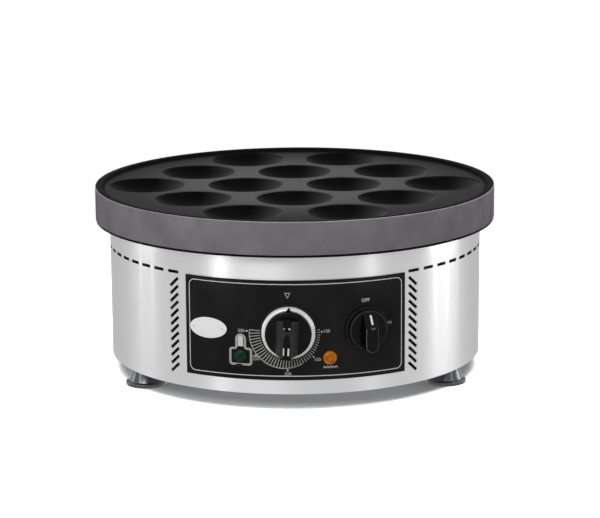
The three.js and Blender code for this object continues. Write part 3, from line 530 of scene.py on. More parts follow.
slot_looks = {
    "cast_plate": casting_look,
    "brushed_steel": steel_look,
    "zinc_steel": zinc_look,
    "element_steel": element_look,
    "fibre_board": fibre_look,
    "foot_rubber": rubber_look,
    "panel_black": panel_look,
    "badge_white": badge_look,
    "knob_black": knob_look,
    "bright_ring": ring_look,
    "capillary_brass": brass_look,
    "nylon_black": nylon_look,
    "lens_green": green_look,
    "lens_amber": amber_look,
    "lamp_white": lamp_look,
    "terminal_cream": cream_look,
    "lead_brown": brown_lead_look,
    "lead_blue": blue_lead_look,
}


def dress(piece, looks, slot, *nodes, body="maker"):
    """Gives a finished piece its finishes and its body, and hides the nodes that it stands for."""
    for look in looks if isinstance(looks, (list, tuple)) else [looks]:
        piece.data.materials.append(look)
    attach(piece, body)
    if nodes:
        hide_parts(*nodes)


def paint(piece, index, test):
    """Gives the faces that pass the test another of the piece's finishes."""
    for face in piece.data.polygons:
        if test(face.center, face.normal):
            face.material_index = index


def dress_frame():
    for part in frame["record"]["subparts"]:
        mesh = frame["nodes"][part["node"]].data
        mesh.materials.clear()
        mesh.materials.append(slot_looks[part["material_slot"]])


# Cooking plate

deck_drop = 2.5 * MM
deck_t = 16 * MM
rim_w = 7.4 * MM
rim_slope = 1.6 * MM
skirt_w = 10 * MM
skirt_fillet, low_fillet, top_fillet, rim_fillet = 2 * MM, 0.8 * MM, 1.1 * MM, 1.2 * MM
bowl_r = 38.5 * MM
bowl_depth = 10 * MM
lip_r = 5 * MM
bowl_pitch = 98.7 * MM
row_pitch = 70.4 * MM
bowl_rows = (2, 3, 4, 3, 2)
run_out = math.radians(3)  # how steep the lip still is where it leaves the deck
run_out_l = 0.4 * MM
stud_circle_r = 171.4 * MM
boss_r = 8 * MM
boss_gap = 0.3 * MM

# Where the plate's finishes meet
coat_inset = 0.9 * MM
bowl_drop = 0.6 * MM
rim_top_inset = 0.8 * MM
# Painted shade: the plate's lowest band is black, for the dark line under its edge.
shade_band = 0.7 * MM
edge_w, edge_h = 0.7 * MM, 0.8 * MM
level = 0.9999  # the rise of a face's direction, from which it counts as level
facing_up = 0.05

deck_top = plate_top - deck_drop
deck_low = deck_top - deck_t


def bowl_outline():
    """Half section of a bowl: part of a ball, with a round lip that runs out on the deck."""
    ball_r = (bowl_r**2 + bowl_depth**2) / (2 * bowl_depth)
    ball_z = deck_top - bowl_depth + ball_r
    lip_z = deck_top - lip_r
    lip_x = math.sqrt((ball_r + lip_r) ** 2 - (ball_z - lip_z) ** 2)
    reach = math.atan2(lip_x, ball_z - lip_z)
    ball_steps, lip_steps = 16, 7
    points = []
    for i in range(ball_steps + 1):
        a = reach * i / ball_steps
        points.append((ball_r * math.sin(a), ball_z - ball_r * math.cos(a)))
    for i in range(1, lip_steps + 1):
        a = reach + (run_out - reach) * i / lip_steps
        points.append((lip_x - lip_r * math.sin(a), lip_z + lip_r * math.cos(a)))
    x, z = points[-1]
    x += run_out_l
    z += run_out_l * math.tan(run_out)
    return points + [(x, z), (x, deck_top + over), (0, deck_top + over)]


def bowl_places():
    for row, count in enumerate(bowl_rows):
        for i in range(count):
            yield (i - (count - 1) / 2) * bowl_pitch, (row - 2) * row_pitch


def make_plate():
    rim_in = plate_r - rim_w
    skirt_in = plate_r - skirt_w
    corners = [
        (0, deck_low),
        (skirt_in, deck_low, skirt_fillet),
        (skirt_in, plate_low),
        (plate_r, plate_low, low_fillet),
        (plate_r, plate_top, top_fillet),
        (rim_in, plate_top, rim_fillet),
        (rim_in - rim_slope, deck_top, rim_fillet),
        (0, deck_top),
    ]
    piece = turned("griddle", rounded(corners, closed=False), 256)
    edit(piece)
    for height in (deck_top, deck_low):
        choose(piece, lambda face: abs(face.calc_center_median().z - height) < tiny)
        bpy.ops.mesh.dissolve_faces()
    done()
    boss_low, boss_top = wall_top + boss_gap, deck_low + MM
    bosses = []
    for i in range(3):
        a = math.tau * i / 3
        outline = [(0, boss_low), (boss_r, boss_low), (boss_r, boss_top), (0, boss_top)]
        boss = turned("boss", outline, 32)
        boss.data.transform(shift(stud_circle_r * math.sin(a), -stud_circle_r * math.cos(a), 0))
        bosses.append(boss)
    combine(piece, bosses, "UNION")
    bowl = turned("bowl", bowl_outline(), 96)
    bowls = [copied(bowl, shift(x, y, 0)) for x, y in bowl_places()]
    bpy.data.objects.remove(bowl)
    combine(piece, bowls)
    soften(piece)
    for face in piece.data.polygons:
        if len(face.vertices) > 4 and abs(face.normal.z) > level:
            face.use_smooth = False
    looks = [casting_look, coating_with_sheen_look, rim_look, casting_edge_look, bowl_shade_and_light_look, rim_top_look]
    dress(piece, looks, "cast_plate", "cooking_plate")

    def on_top(centre, normal):
        inside = off_axis(centre) < plate_r - coat_inset and centre.z > deck_low + MM
        return inside and normal.z > facing_up

    coating, rim, edge, bowl_inside, rim_top = range(1, 6)
    paint(piece, coating, on_top)
    paint(piece, rim, lambda c, n: on_top(c, n) and off_axis(c) > rim_in - rim_slope - MM)
    # Painted shade: the plate's lowest band takes the black rim coating.
    paint(piece, rim, lambda c, n: c.z < plate_low + shade_band)
    # Painted shade and light inside the bowls.
    paint(piece, bowl_inside, lambda c, n: on_top(c, n) and c.z < deck_top - bowl_drop)
    paint(piece, rim_top, lambda c, n: on_top(c, n) and off_axis(c) > rim_in + rim_top_inset)
    edge_low = plate_top - edge_h
    paint(piece, edge, lambda c, n: off_axis(c) >= plate_r - edge_w and c.z > edge_low)


# Body shell

slot_l, slot_w = 12.9 * MM, 3 * MM
slot_row_z = wall_low + 111 * MM
slot_row_right, slot_row_left = 121.2 * MM, 125.6 * MM
slot_row_pitch = 19.2 * MM
slant_right, slant_left = 120.1 * MM, 124.7 * MM
slant_low = wall_low + 17 * MM
slant_pitch = 7.63 * MM
slant_count = 12
slant_angle = math.radians(42)
flange_w = 28 * MM
bend_r, inner_bend_r = 2 * MM, 0.8 * MM
tab_l, tab_w, tab_rise = 14 * MM, 20 * MM, 9.5 * MM
hole_depth = 8 * MM
shaft_hole_r, lamp_hole_r, gland_hole_r = 4.5 * MM, 5.1 * MM, 10.3 * MM


def shell_slots():
    slot = block("slot", (slot_l, sheet + 2 * over, slot_w), (0, -shell_r, 0))
    span = math.tau * shell_r - slot_row_right - slot_row_left
    count = 1 + round(span / slot_row_pitch)
    slots = []
    for i in range(count):
        turn = (slot_row_right + span * i / (count - 1)) / shell_r
        slots.append(copied(slot, turn_z(turn) @ shift(0, 0, slot_row_z)))
    for side, along in ((-1, slant_left), (1, slant_right)):
        for i in range(slant_count):
            lean = Matrix.Rotation(side * slant_angle, 4, "Y")
            lift = shift(0, 0, slant_low + i * slant_pitch)
            slots.append(copied(slot, turn_z(side * along / shell_r) @ lift @ lean))
    bpy.data.objects.remove(slot)
    return slots


def hole(place, radius):
    outline = [(0, -hole_depth), (radius, -hole_depth), (radius, over), (0, over)]
    return apply_place(turned("hole", outline, 32), place)


def panel_holes():
    return [
        hole(panel_place(thermostat_x, knob_y), shaft_hole_r),
        hole(panel_place(switch_x, knob_y), shaft_hole_r),
        hole(panel_place(green_x, green_y), lamp_hole_r),
        hole(panel_place(amber_x, amber_y), lamp_hole_r),
    ]


def make_shell():
    inner_r = shell_r - sheet
    flange_r = shell_r - flange_w
    corners = [
        (inner_r, wall_low),
        (shell_r, wall_low),
        (shell_r, wall_top, bend_r),
        (flange_r, wall_top),
        (flange_r, wall_top - sheet),
        (inner_r, wall_top - sheet, inner_bend_r),
    ]
    piece = turned("stainless_body", rounded(corners, 6), 360)
    tab_y = -(inner_r - tab_l / 2 + sheet / 4)
    tab_z = wall_low + tab_rise + sheet / 2
    tab = block("tab", (tab_w, tab_l + sheet / 2, sheet), (0, tab_y, tab_z))
    combine(piece, [copied(tab, turn_z(math.tau * i / 3)) for i in range(3)], "UNION")
    bpy.data.objects.remove(tab)
    combine(piece, shell_slots())
    gland_hole = hole(wall_place(shell_r, math.pi, gland_z), gland_hole_r)
    combine(piece, panel_holes() + [gland_hole])
    soften(piece)
    dress(piece, steel_look, "brushed_steel", "body_shell")


seal_lap = 6 * MM  # how far the seal reaches in over the body
seal_inset = 0.4 * MM
seal_gap, seal_top_gap = 0.1 * MM, 0.05 * MM


def make_seal_and_shade():
    """Flat black ring between the body and the plate, as wide as the plate: a guessed seal, whose
    black also paints the shade under the plate's edge.
    """
    inner_r, outer_r = shell_r - seal_lap, plate_r - seal_inset
    low, high = wall_top + seal_gap, plate_low - seal_top_gap
    corners = [
        (inner_r, low), (outer_r, low, 0.4 * MM), (outer_r, high, 0.1 * MM), (inner_r, high),
    ]
    piece = turned("plate_seal_and_shade", rounded(corners, 4), 240)
    soften(piece)
    dress(piece, seal_and_shade_look, "foot_rubber")


# Control panel

panel_edge = 0.25 * MM
badge_half_x, badge_half_y, badge_edge = 19.5, 10, 0.45 * MM
badge_lift = 0.25 * MM
badge_steps = ((0.35, 0.1), (0.9, 0.05), (2.5, 0), (4, 0))  # inward and up, in millimetres


def make_panel():
    inner = panel_r - panel_t
    outline = [(inner, panel_low), (panel_r, panel_low), (panel_r, panel_top), (inner, panel_top)]
    piece = turned("panel", outline, 96, 2 * panel_half_turn)
    piece.data.transform(turn_z(panel_half_turn - math.pi / 2))
    combine(piece, panel_holes())
    round_edges(piece, panel_edge, 2, 60)
    soften(piece)
    dress(piece, panel_look, "panel_black", "control_panel")


def wrap(piece, lift):
    """Lays a flat print, x right and y up from the panel's middle, on the panel's face."""
    for vertex in piece.data.vertices:
        x, y, z = vertex.co
        r, a = panel_r + z + lift, x / panel_r
        vertex.co = (r * math.sin(a), -r * math.cos(a), panel_mid + y)
    piece.data.update()
    return piece


def make_badge():
    clear()
    bpy.ops.mesh.primitive_circle_add(vertices=72, radius=MM, fill_type="NGON")
    piece = bpy.context.object
    piece.scale = (badge_half_x, badge_half_y, 1)
    apply_place(piece)
    edit(piece)
    choose_all()
    pull((0, 0, badge_edge))
    for step, rise in badge_steps:
        bpy.ops.mesh.inset(thickness=step * MM, use_even_offset=False)
        bpy.ops.transform.translate(value=(0, 0, rise * MM))
    bpy.ops.mesh.poke()
    close_up()
    piece.name = piece.data.name = "blank_badge"
    piece.data.transform(shift(badge_x, badge_y, 0))
    wrap(piece, badge_lift)
    soften(piece)
    dress(piece, badge_look, "badge_white", "badge")


# White print on the panel, placed in millimetres from the panel's middle

print_t = 0.06 * MM
print_lift = 0.02 * MM
weight = 0.01  # how much letters are thickened, as a share of their size
border_half_x, border_half_y, border_r, border_rise, border_w = 106.7, 44.8, 6, 0.2, 0.8
heat_numbers = (
    ("300", -52.3, -1.3), ("250", -37.8, -27.9), ("200", -7.7, -42.1), ("150", 20.2, -28.5),
    ("100", 29.3, -1.2),
)
number_size = 4.5
off_word = ("OFF", 67.6, 26.2, 4.7)
on_word = ("ON", 91.7, 1.8, 4.2)
dots = ((-46.8, -1.2, 0.9), (-7.8, -38.3, 0.9), (16.7, -25.6, 0.7), (24.7, -1.4, 0.8))
arch_foot = [(-55.6, -16.4), (-50.4, -16.4)]
arch_top = (-53, -8.9, 2.6)
triangle, triangle_w = [(-7.6, 31), (-4.7, 36.6), (-10.5, 36.6)], 0.7
lock_w = 2.1
lock_bar = [(-42.7, -25.7), (-34.4, -25.7), (-34.4, -24.9), (-42.7, -24.9)]
lock_tip = [(-39.6, -24.9), (-36.6, -24.9), (-38.1, -22.8)]
wave_x, wave_y, wave_l, wave_h, wave_w, peaks = 25.9, -35.7, 14, 0.9, 0.8, 10


def filled(name, points):
    """A closed outline filled flat."""
    piece = traced(name, [(x, y, 0) for x, y in points])
    bpy.ops.mesh.edge_face_add()
    return piece


def thicken(piece):
    choose_all()
    pull((0, 0, print_t))
    close_up()
    return apply_place(piece)


def print_shape(name, points):
    return thicken(filled(name, scaled(points)))


def print_line(name, points, width):
    """A closed outline drawn as a line of that width, inside its points."""
    piece = filled(name, scaled(points))
    bpy.ops.mesh.select_mode(type="FACE")
    choose_all()
    bpy.ops.mesh.inset(thickness=width * MM)
    bpy.ops.mesh.delete(type="FACE")
    return thicken(piece)


def resampled(points, step):
    """The same closed outline with no side longer than step."""
    found = []
    for (x0, y0), (x1, y1) in zip(points, points[1:] + points[:1]):
        count = max(1, math.ceil(math.hypot(x1 - x0, y1 - y0) / step))
        found += [(x0 + (x1 - x0) * i / count, y0 + (y1 - y0) * i / count) for i in range(count)]
    return found


def print_words(text, x, y, size):
    clear()
    bpy.ops.object.text_add()
    piece = bpy.context.object
    piece.data.body = text
    piece.data.size = size * MM
    piece.data.align_x, piece.data.align_y = "CENTER", "CENTER"
    piece.data.extrude = print_t / 2
    piece.data.offset = weight * size * MM
    bpy.ops.object.convert(target="MESH")
    piece.data.transform(shift(x * MM, y * MM, print_t / 2))
    return piece


def arc_points(cx, cy, r, start, end, steps):
    """Points of an arc, in degrees counted anticlockwise from 3 o'clock."""
    turns = [math.radians(start + (end - start) * i / steps) for i in range(steps + 1)]
    return [(cx + r * math.cos(a), cy + r * math.sin(a)) for a in turns]


scale_x, scale_y, scale_r = -10.8, -3.2, 33.8
tick_r = 27.1
tick_count = 39
tick_step = 4.88
tick_first = 178
tick_w = 0.85
backbone_w = 0.8


def scale_reach(turn):
    """How far a tick at this turn runs from the knob's axis to the scale's outer circle."""
    dx, dy = thermostat_x / MM - scale_x, knob_y / MM - scale_y
    along = math.cos(turn) * dx + math.sin(turn) * dy
    return -along + math.sqrt(along**2 - dx**2 - dy**2 + scale_r**2)


def scale_ticks():
    ticks = []
    half = tick_w / 2
    for i in range(tick_count):
        turn = math.radians(tick_first + tick_step * i)
        far = scale_reach(turn)
        corners = [(tick_r, -half), (far, -half), (far, half), (tick_r, half)]
        tick = print_shape("tick", corners)
        tick.data.transform(shift(thermostat_x, knob_y, 0) @ turn_z(turn))
        ticks.append(tick)
    return ticks


def dot(x, y, r):
    return print_shape("dot", arc_points(x, y, r, 0, 345, 23))


def frame_outline(half_x, half_y, r, cx=0, cy=0):
    corners = [(x * half_x, y * half_y, r) for x, y in ((-1, -1), (1, -1), (1, 1), (-1, 1))]
    return [(x + cx, y + cy) for x, y in rounded(corners, 6)]


def lock_outline():
    """Rounded lamp window with an arch on top, as one outline."""
    left, right, low, high = -64.2, -41.6, -35, -17.6
    arch_x, arch_half, arch_y, corner = -52.8, 5.3, -9.5, 3.2
    corners = [
        (left, low, corner), (right, low, corner), (right, high, corner),
        (arch_x + arch_half, high, 1),
        *arc_points(arch_x, arch_y, arch_half, 0, 180, 14),
        (arch_x - arch_half, high, 1), (left, high, corner),
    ]
    return rounded(corners, 5)


def print_band(name, points, width):
    """A band inside a closed outline: the filled outline with a smaller one cut out of it."""
    outer = print_shape(name, points)
    inner = print_shape("tool", inset_points(points, width))
    inner.data.transform(Matrix.Scale(3, 4, (0, 0, 1)) @ shift(0, 0, -print_t / 3))
    return combine(outer, [inner])


def inset_points(points, width):
    """An anticlockwise outline moved inward by width, point by point."""
    found = []
    for i, here in enumerate(points):
        back = Vector(here) - Vector(points[i - 1])
        ahead = Vector(points[(i + 1) % len(points)]) - Vector(here)
        sides = [Vector((-step.y, step.x)).normalized() for step in (back, ahead)]
        bisector = (sides[0] + sides[1]).normalized()
        found.append(tuple(Vector(here) + bisector * width / max(0.5, bisector.dot(sides[0]))))
    return found


def make_print():
    border = frame_outline(border_half_x, border_half_y, border_r, 0, border_rise)
    bright = [print_line("border", resampled(border, 3), border_w)]
    bright.append(print_words(*off_word))
    bright.append(print_shape("arch", arch_foot + arc_points(*arch_top, 0, 180, 12)))
    bright += [dot(x, y, r) for x, y, r in dots]

    pale = scale_ticks()
    pale += [print_words(text, x, y, number_size) for text, x, y in heat_numbers]
    pale.append(print_words(*on_word))
    pale.append(print_band("pointer", triangle, triangle_w))
    pale.append(print_band("lock", resampled(lock_outline(), 1.5), lock_w))
    pale += [print_shape("bar", lock_bar), print_shape("tip", lock_tip)]
    backbone = arc_points(scale_x, scale_y, scale_r, 176, 300, 60)
    backbone += arc_points(scale_x, scale_y, scale_r - backbone_w, 300, 176, 60)
    pale.append(print_shape("backbone", backbone))
    wave = []
    for i in range(peaks + 1):
        wave.append((wave_x + wave_l * i / peaks, wave_y + (wave_h if i % 2 else -wave_h)))
    back = [(x, y - wave_w) for x, y in reversed(wave)]
    bright.append(print_shape("wave", wave + back))
    pale_print = wrap(joined("panel_print_pale", pale), print_lift)
    dress(pale_print, pale_print_look, "badge_white")
    piece = wrap(joined("panel_print", bright), print_lift)
    dress(piece, print_look, "badge_white")


# Knobs, each in its own frame and in millimetres: x right, y up, z out of the panel

knob_smooth = math.radians(40)
heat_skirt = [
    (0, 4), (18.3, 4), (18.3, 1), (27, 1), (27, 2.6, 0.5), (20.3, 2.6),
    (20.3, 7.3), (22, 7.3, 0.3), (22, 12.2, 1.4), (0, 12.2),
]
heat_ring = [(20.8, 2.9), (25.5, 2.9, 0.3), (25.5, 4.2, 1), (23, 6.7, 1.6), (20.8, 6.7, 0.5)]
grip_up, grip_down = 17.2, 21.8
grip_x, grip_lean = -0.8, math.radians(-2.7)
grip_section = [(-11, 11.6), (11, 11.6), (6.2, 19.7, 1.2), (-6.2, 19.7, 1.2)]
ends_low, ends_top = 7, 20.5
nose = [(-6, -16), (-4.4, -22.8, 1.5), (4.4, -22.8, 1.5), (6, -16)]
waist = [(0, 2.8), (-2.2, 0.4), (-3.2, -4.5), (-3.4, -24), (3.4, -24), (3.2, -4.5), (2.2, 0.4)]
pointer = [(-3.6, 17), (3.6, 17), (3.3, 20.8), (0.4, 25.8), (-3, 20.8)]
nose_z, dip_z, waist_z, pointer_z = (12.5, 18.6), (17.6, 22), (18.4, 22), (7.3, 9)
heat_edge, skirt_edge_r = 0.25 * MM, 26.3 * MM
flank_low, grip_top = 12.6 * MM, 19.3 * MM
# White spots and dashes on the thermostat's grip: painted highlights.
heat_highlights = ((-2.9, 0.6), (2, 0.8))  # how far right, and half the width
spot_y, spot_z = 7.6, (17.4, 19)
dash_y, dash_half, dash_r, dash_z = -14.6, 3.6, 0.5, (18.2, 19.6)
power_skirt = [
    (0, 4), (16.8, 4), (16.8, 1), (21.5, 1), (21.5, 2.6, 0.5),
    (18.8, 2.6), (18.8, 6.5, 1.4), (0, 6.5),
]
bar_half, bar_up, bar_down, bar_low, bar_top = 6.3, 18, 20.2, 6, 16
bar_edge, power_edge = 1.1 * MM, 0.2 * MM
slope_y, slope_fall, slope_run = 4, 8.5, 14
line_t, line_z, line_down = 0.35, 15.95, 7.9
# The hook is a painted highlight, where the front meets the slope.
hook_x, hook_y, hook_r, hook_inner_r, hook_z = 0.6, 4.6, 2.3, 1.6, (15.9, 16.15)
# The last two bound the painted highlight on the bar's lower edges.
collar_r, highlight_low, highlight_up = 17.2 * MM, 14.5 * MM, 3 * MM


def slab(name, points, low, high, edge=0):
    piece = raised(name, scaled(points), low * MM, high * MM)
    if edge:
        round_edges(piece, edge * MM)
    return piece


def wheel(name, corners, steps=96):
    """A spun piece from (radius, height, fillet) corners, from axis to axis."""
    return turned(name, rounded(scaled(corners), 4, closed=False), steps, closed=False)


def heat_grip():
    """The raised bar across the thermostat knob, with its grooves, nose and pointer."""
    section = [(x, -grip_down * MM, z) for x, z in rounded(scaled(grip_section), 4)]
    grip = traced("grip", section)
    bpy.ops.mesh.edge_face_add()
    pull((0, (grip_up + grip_down) * MM, 0))
    close_up()
    apply_place(grip)
    grip_r = (grip_up + grip_down) / 2
    corners = [(0, ends_low), (grip_r, ends_low), (grip_r - 1, ends_top, 1), (0, ends_top)]
    ends = wheel("ends", corners)
    ends.data.transform(shift(0, (grip_up - grip_r) * MM, 0))
    combine(grip, [ends], "INTERSECT")
    combine(grip, [slab("nose", rounded(nose, 4), *nose_z)], "UNION")
    dip = [(-4.2, 22)] + arc_points(0, 8.6, 3.8, 180, 360, 12) + [(4.2, 22)]
    combine(grip, [slab("groove", dip, *dip_z), slab("groove", waist, *waist_z)])
    combine(grip, [slab("pointer", pointer, *pointer_z)], "UNION")
    return grip


def make_thermostat_knob():
    place = panel_place(thermostat_x, knob_y)
    lean = turn_z(grip_lean) @ shift(grip_x * MM, 0, 0)
    knob = wheel("skirt", heat_skirt)
    grip = heat_grip()
    grip.data.transform(lean)
    combine(knob, [grip], "UNION")
    knob.name = knob.data.name = "heat_knob"
    round_edges(knob, heat_edge, 2, 40)
    # Painted sheen on the grip's flanks and top, and painted highlight on the skirt's rim.
    paint(knob, 1, lambda c, n: c.z > flank_low and (abs(n.x) > 0.6 or c.z > grip_top))
    paint(knob, 1, lambda c, n: off_axis(c) > skirt_edge_r and n.z > 0.1)
    apply_place(knob, place)
    soften(knob, knob_smooth)
    looks = [knob_look, knob_painted_sheen_look]
    dress(knob, looks, "knob_black", "thermostat_knob", body="thermostat_dial")

    # Painted highlights: white spots and dashes on the grip.
    marks = []
    for x, r in heat_highlights:
        marks.append(slab("mark", arc_points(x, spot_y, r, 0, 340, 17), *spot_z))
        dash = frame_outline(r * 0.9, dash_half, dash_r, x * 0.92, dash_y)
        marks.append(slab("mark", dash, *dash_z))
    trim = joined("heat_knob_painted_highlights", marks)
    trim.data.transform(lean)
    dress(apply_place(trim, place), mark_and_highlight_look, "badge_white", body="thermostat_dial")

    ring = turned("heat_knob_ring", rounded(scaled(heat_ring), 5), 128)
    soften(apply_place(ring, place))
    dress(ring, ring_look, "bright_ring", "thermostat_knob_ring", body="thermostat_dial")


def make_switch_knob():
    place = panel_place(switch_x, knob_y)
    knob = wheel("skirt", power_skirt)
    outline = [(bar_half, bar_up), (-bar_half, bar_up)]
    outline += arc_points(0, bar_half - bar_down, bar_half, 180, 360, 16)
    bar = slab("bar", outline, bar_low, bar_top)
    slope = slab("slope", [(-8, 3.6), (8, 3.6), (8, 26), (-8, 26)], 0, 12)
    start = shift(0, slope_y * MM, bar_top * MM)
    tilt = Matrix.Rotation(-math.atan2(slope_fall, slope_run), 4, "X")
    slope.data.transform(start @ tilt @ shift(0, -slope_y * MM, 0))
    combine(bar, [slope])
    round_edges(bar, bar_edge, 3)
    combine(knob, [bar], "UNION")
    knob.name = knob.data.name = "power_knob"
    round_edges(knob, power_edge, 1, 50)
    # Painted highlight on the cap's rim.
    paint(knob, 1, lambda c, n: off_axis(c) > collar_r and 0.1 < n.z < 0.98)
    # Painted highlight on the bar's lower front edges.
    paint(knob, 2, lambda c, n: c.z > highlight_low and c.y < highlight_up and 0.25 < n.z < 0.96)
    apply_place(knob, place)
    soften(knob, knob_smooth)
    looks = [knob_look, knob_painted_sheen_look, knob_edge_highlight_look]
    dress(knob, looks, "knob_black", "switch_knob", body="switch_dial")

    line = slab("power_knob_line", frame_outline(1, 5, 0.9, 0.4), 0, line_t)
    start = shift(0, slope_y * MM, line_z * MM)
    line.data.transform(start @ tilt @ shift(0, line_down * MM, 0))
    dress(apply_place(line, place), mark_and_highlight_look, "badge_white", body="switch_dial")
    # Painted highlight: a grey arc where the front face meets the slope.
    outline = arc_points(hook_x, hook_y, hook_r, 200, 340, 12)
    outline += arc_points(hook_x, hook_y, hook_inner_r, 340, 200, 12)
    hook = slab("power_knob_painted_highlight", outline, *hook_z)
    dress(apply_place(hook, place), hook_highlight_look, "badge_white", body="switch_dial")


# Signal lamps, in millimetres

lens_smooth = math.radians(50)
lens_low, well_r, well_z = 0.3, 5.1, 1.3
brim_top, brim_w = 1.9, 0.65
bulge, ripple_h, bulge_steps = 2.28, 0.32, 24
green_d, amber_d, amber_rings = 13, 13.5, 3
# Rings that take the lens's second finish: painted shade on the amber lens.
shaded_rings = ((0.34, 0.56), (0.88, 2))  # from and to, as shares of the lens's radius


def make_lens(name, looks, x, y, diameter, slot, node, rings=0):
    r = diameter / 2
    profile = [(0, well_z), (well_r, well_z), (well_r, lens_low), (r, lens_low), (r, brim_top)]
    for i in range(bulge_steps + 1):
        a = math.pi / 2 * i / bulge_steps
        reach = (r - brim_w) * math.cos(a)
        ripple = ripple_h * math.cos(reach * math.tau * rings / r) if rings else 0
        profile.append((reach, brim_top + (bulge + ripple) * math.sin(a)))
    piece = turned(name, scaled(profile), 64, closed=False)
    # Painted shade on the lens's rings.
    for start, end in shaded_rings:
        paint(piece, 1, lambda c, n: start < off_axis(c) / (r * MM) < end)
    apply_place(piece, panel_place(x, y))
    soften(piece, lens_smooth)
    dress(piece, looks, slot, node)


# Feet, screws and cable gland, in millimetres

sole_r, sole_h, sole_hole_r = 20, 3.5, 7
neck_r, neck_z = 17, 4.3
waist_r, taper = 14, 1.7
screw_hole_r, well_top = 3.1, 9
foot_screw, base_screw = (5, 9.5, 3), (4, 7, 2.2)  # shank across, head across, head's height
cross_depth = 1.1
hex_half, hex_z, hex_edge = 12, (0.3, 5.3), 0.5
gland_barrel = [(0, -11), (10, -11, 0.6), (10, 0.8), (8.5, 0.8), (8.5, 16.3, 0.4), (0, 16.3)]
gland_well = [(0, -13), (5, -13), (5, 10.3), (7, 10.3), (7, 18), (0, 18)]
gland_cap = [
    (5, 16.6, 0.2), (8.8, 16.6), (8.8, 6.3), (11, 6.3, 0.3), (11, 17, 1),
    (9.2, 20.3, 1.5), (5, 20.3, 0.6),
]
rib_count, rib_reach, rib_z, rib_edge = 18, 10.7, (6.8, 16.4), 0.25


def make_foot(name):
    centre = middle("foot_" + name)
    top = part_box("foot_" + name)[1].z / MM
    corners = [
        (sole_hole_r, 0, 0.4), (sole_r, 0, 0.7), (sole_r, sole_h, 0.8), (neck_r, neck_z, 0.4),
        (sole_hole_r, top),
    ]
    profile = rounded(corners)[:-1]
    steps = 12
    for i in range(1, steps + 1):
        t = i / steps
        side = waist_r + (neck_r - waist_r) * (1 - t) ** 2.6 - taper * t**1.4
        profile.append((side, neck_z + (top - neck_z) * t))
    profile += [(screw_hole_r, top), (screw_hole_r, well_top), (sole_hole_r, well_top)]
    piece = turned("foot_pad_" + name, scaled(profile), 72)
    piece.data.transform(shift(centre.x, centre.y, 0))
    soften(piece)
    dress(piece, rubber_look, "foot_rubber", "foot_" + name)


def make_screw(name, node, d, head_d, head_h):
    """A round head with a cross in it, under a shank, where the node is."""
    centre = middle(node)
    low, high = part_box(node)[0].z / MM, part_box(node)[1].z / MM
    r = head_d / 2
    corners = [
        (0, low), (r * 0.55, low, 0.6), (r, low + head_h * 0.55, 0.4), (r, low + head_h),
        (d / 2, low + head_h), (d / 2, high - 0.5), (d / 2 - 0.5, high), (0, high),
    ]
    piece = wheel(name, corners, 40)
    long, wide, deep = head_d * 0.54 * MM, head_d * 0.18 * MM, 2 * cross_depth * MM
    cross = block("cross", (long, wide, deep), (0, 0, low * MM))
    combine(cross, [block("cross", (wide, long, deep), (0, 0, low * MM))], "UNION")
    combine(piece, [cross])
    piece.data.transform(shift(centre.x, centre.y, 0))
    soften(piece)
    dress(piece, zinc_look, "zinc_steel", node)


def make_gland():
    place = wall_place(shell_r, math.pi, gland_z)
    hexagon = arc_points(0, 0, hex_half / math.cos(math.pi / 6), 0, 300, 5)
    body = slab("hexagon", hexagon, *hex_z, hex_edge)
    combine(body, [wheel("barrel", gland_barrel, 64)], "UNION")
    combine(body, [wheel("well", gland_well, 64)])
    body.name = body.data.name = "gland_base"
    soften(apply_place(body, place))
    dress(body, nylon_look, "nylon_black", "gland_body")

    cap = turned("gland_cap", rounded(scaled(gland_cap), 4), 96)
    rib = slab("rib", frame_outline(0.75, 0.8, 0.3, 0, rib_reach), *rib_z, rib_edge)
    ribs = [copied(rib, turn_z(math.tau * i / rib_count)) for i in range(rib_count)]
    bpy.data.objects.remove(rib)
    combine(cap, ribs, "UNION")
    soften(apply_place(cap, place))
    dress(cap, nylon_look, "nylon_black", "gland_nut")


# Studio

floor_size = 14
floor_grey = 0.45
shadow_reach = 0.16
shadow_dark, shadow_pale = 0.66, 3.2
shadow_start, shadow_end = 0.26, 0.5
ambient = 0.16
lamp_target = (0, 0, 0.1)
lamps = (  # name, place, width, height, watts
    ("key_box", (-1.5, -4.0, 3.0), 2.4, 1.8, 100),
    ("top_box", (0.7, 0.7, 3.2), 1.6, 1.6, 42),
    ("left_front_box", (-1.9, -1.9, 1.0), 0.35, 1.7, 12),
    ("right_front_box", (1.9, -1.9, 1.0), 0.3, 1.7, 6),
    ("right_box", (2.4, 0.4, 0.35), 1.1, 0.7, 13),
    ("left_box", (-2.4, 0.45, 0.35), 0.9, 0.6, 5),
)
camera_place = (0, -2.4458, 0.6506)
camera_pitch, camera_yaw, camera_roll = 0.2192, 0.0020, -0.0066
camera_lens, film_w = 148.6, 36


def seen_rays(tree, *kinds):
    """1 for rays of these kinds, such as what the camera sees, and 0 for the rest."""
    rays = node_of(tree, "ShaderNodeLightPath")
    total = rays.outputs[kinds[0]]
    for kind in kinds[1:]:
        either = node_of(tree, "ShaderNodeMath", operation="MAXIMUM")
        tree.links.new(total, either.inputs[0])
        tree.links.new(rays.outputs[kind], either.inputs[1])
        total = either.outputs["Value"]
    return total


def mixed(tree, share, plain, shown):
    """One shader where the share is 0, and the other where it is 1."""
    mix = node_of(tree, "ShaderNodeMixShader")
    tree.links.new(share, mix.inputs["Fac"])
    tree.links.new(plain, mix.inputs[1])
    tree.links.new(shown, mix.inputs[2])
    return mix.outputs["Shader"]


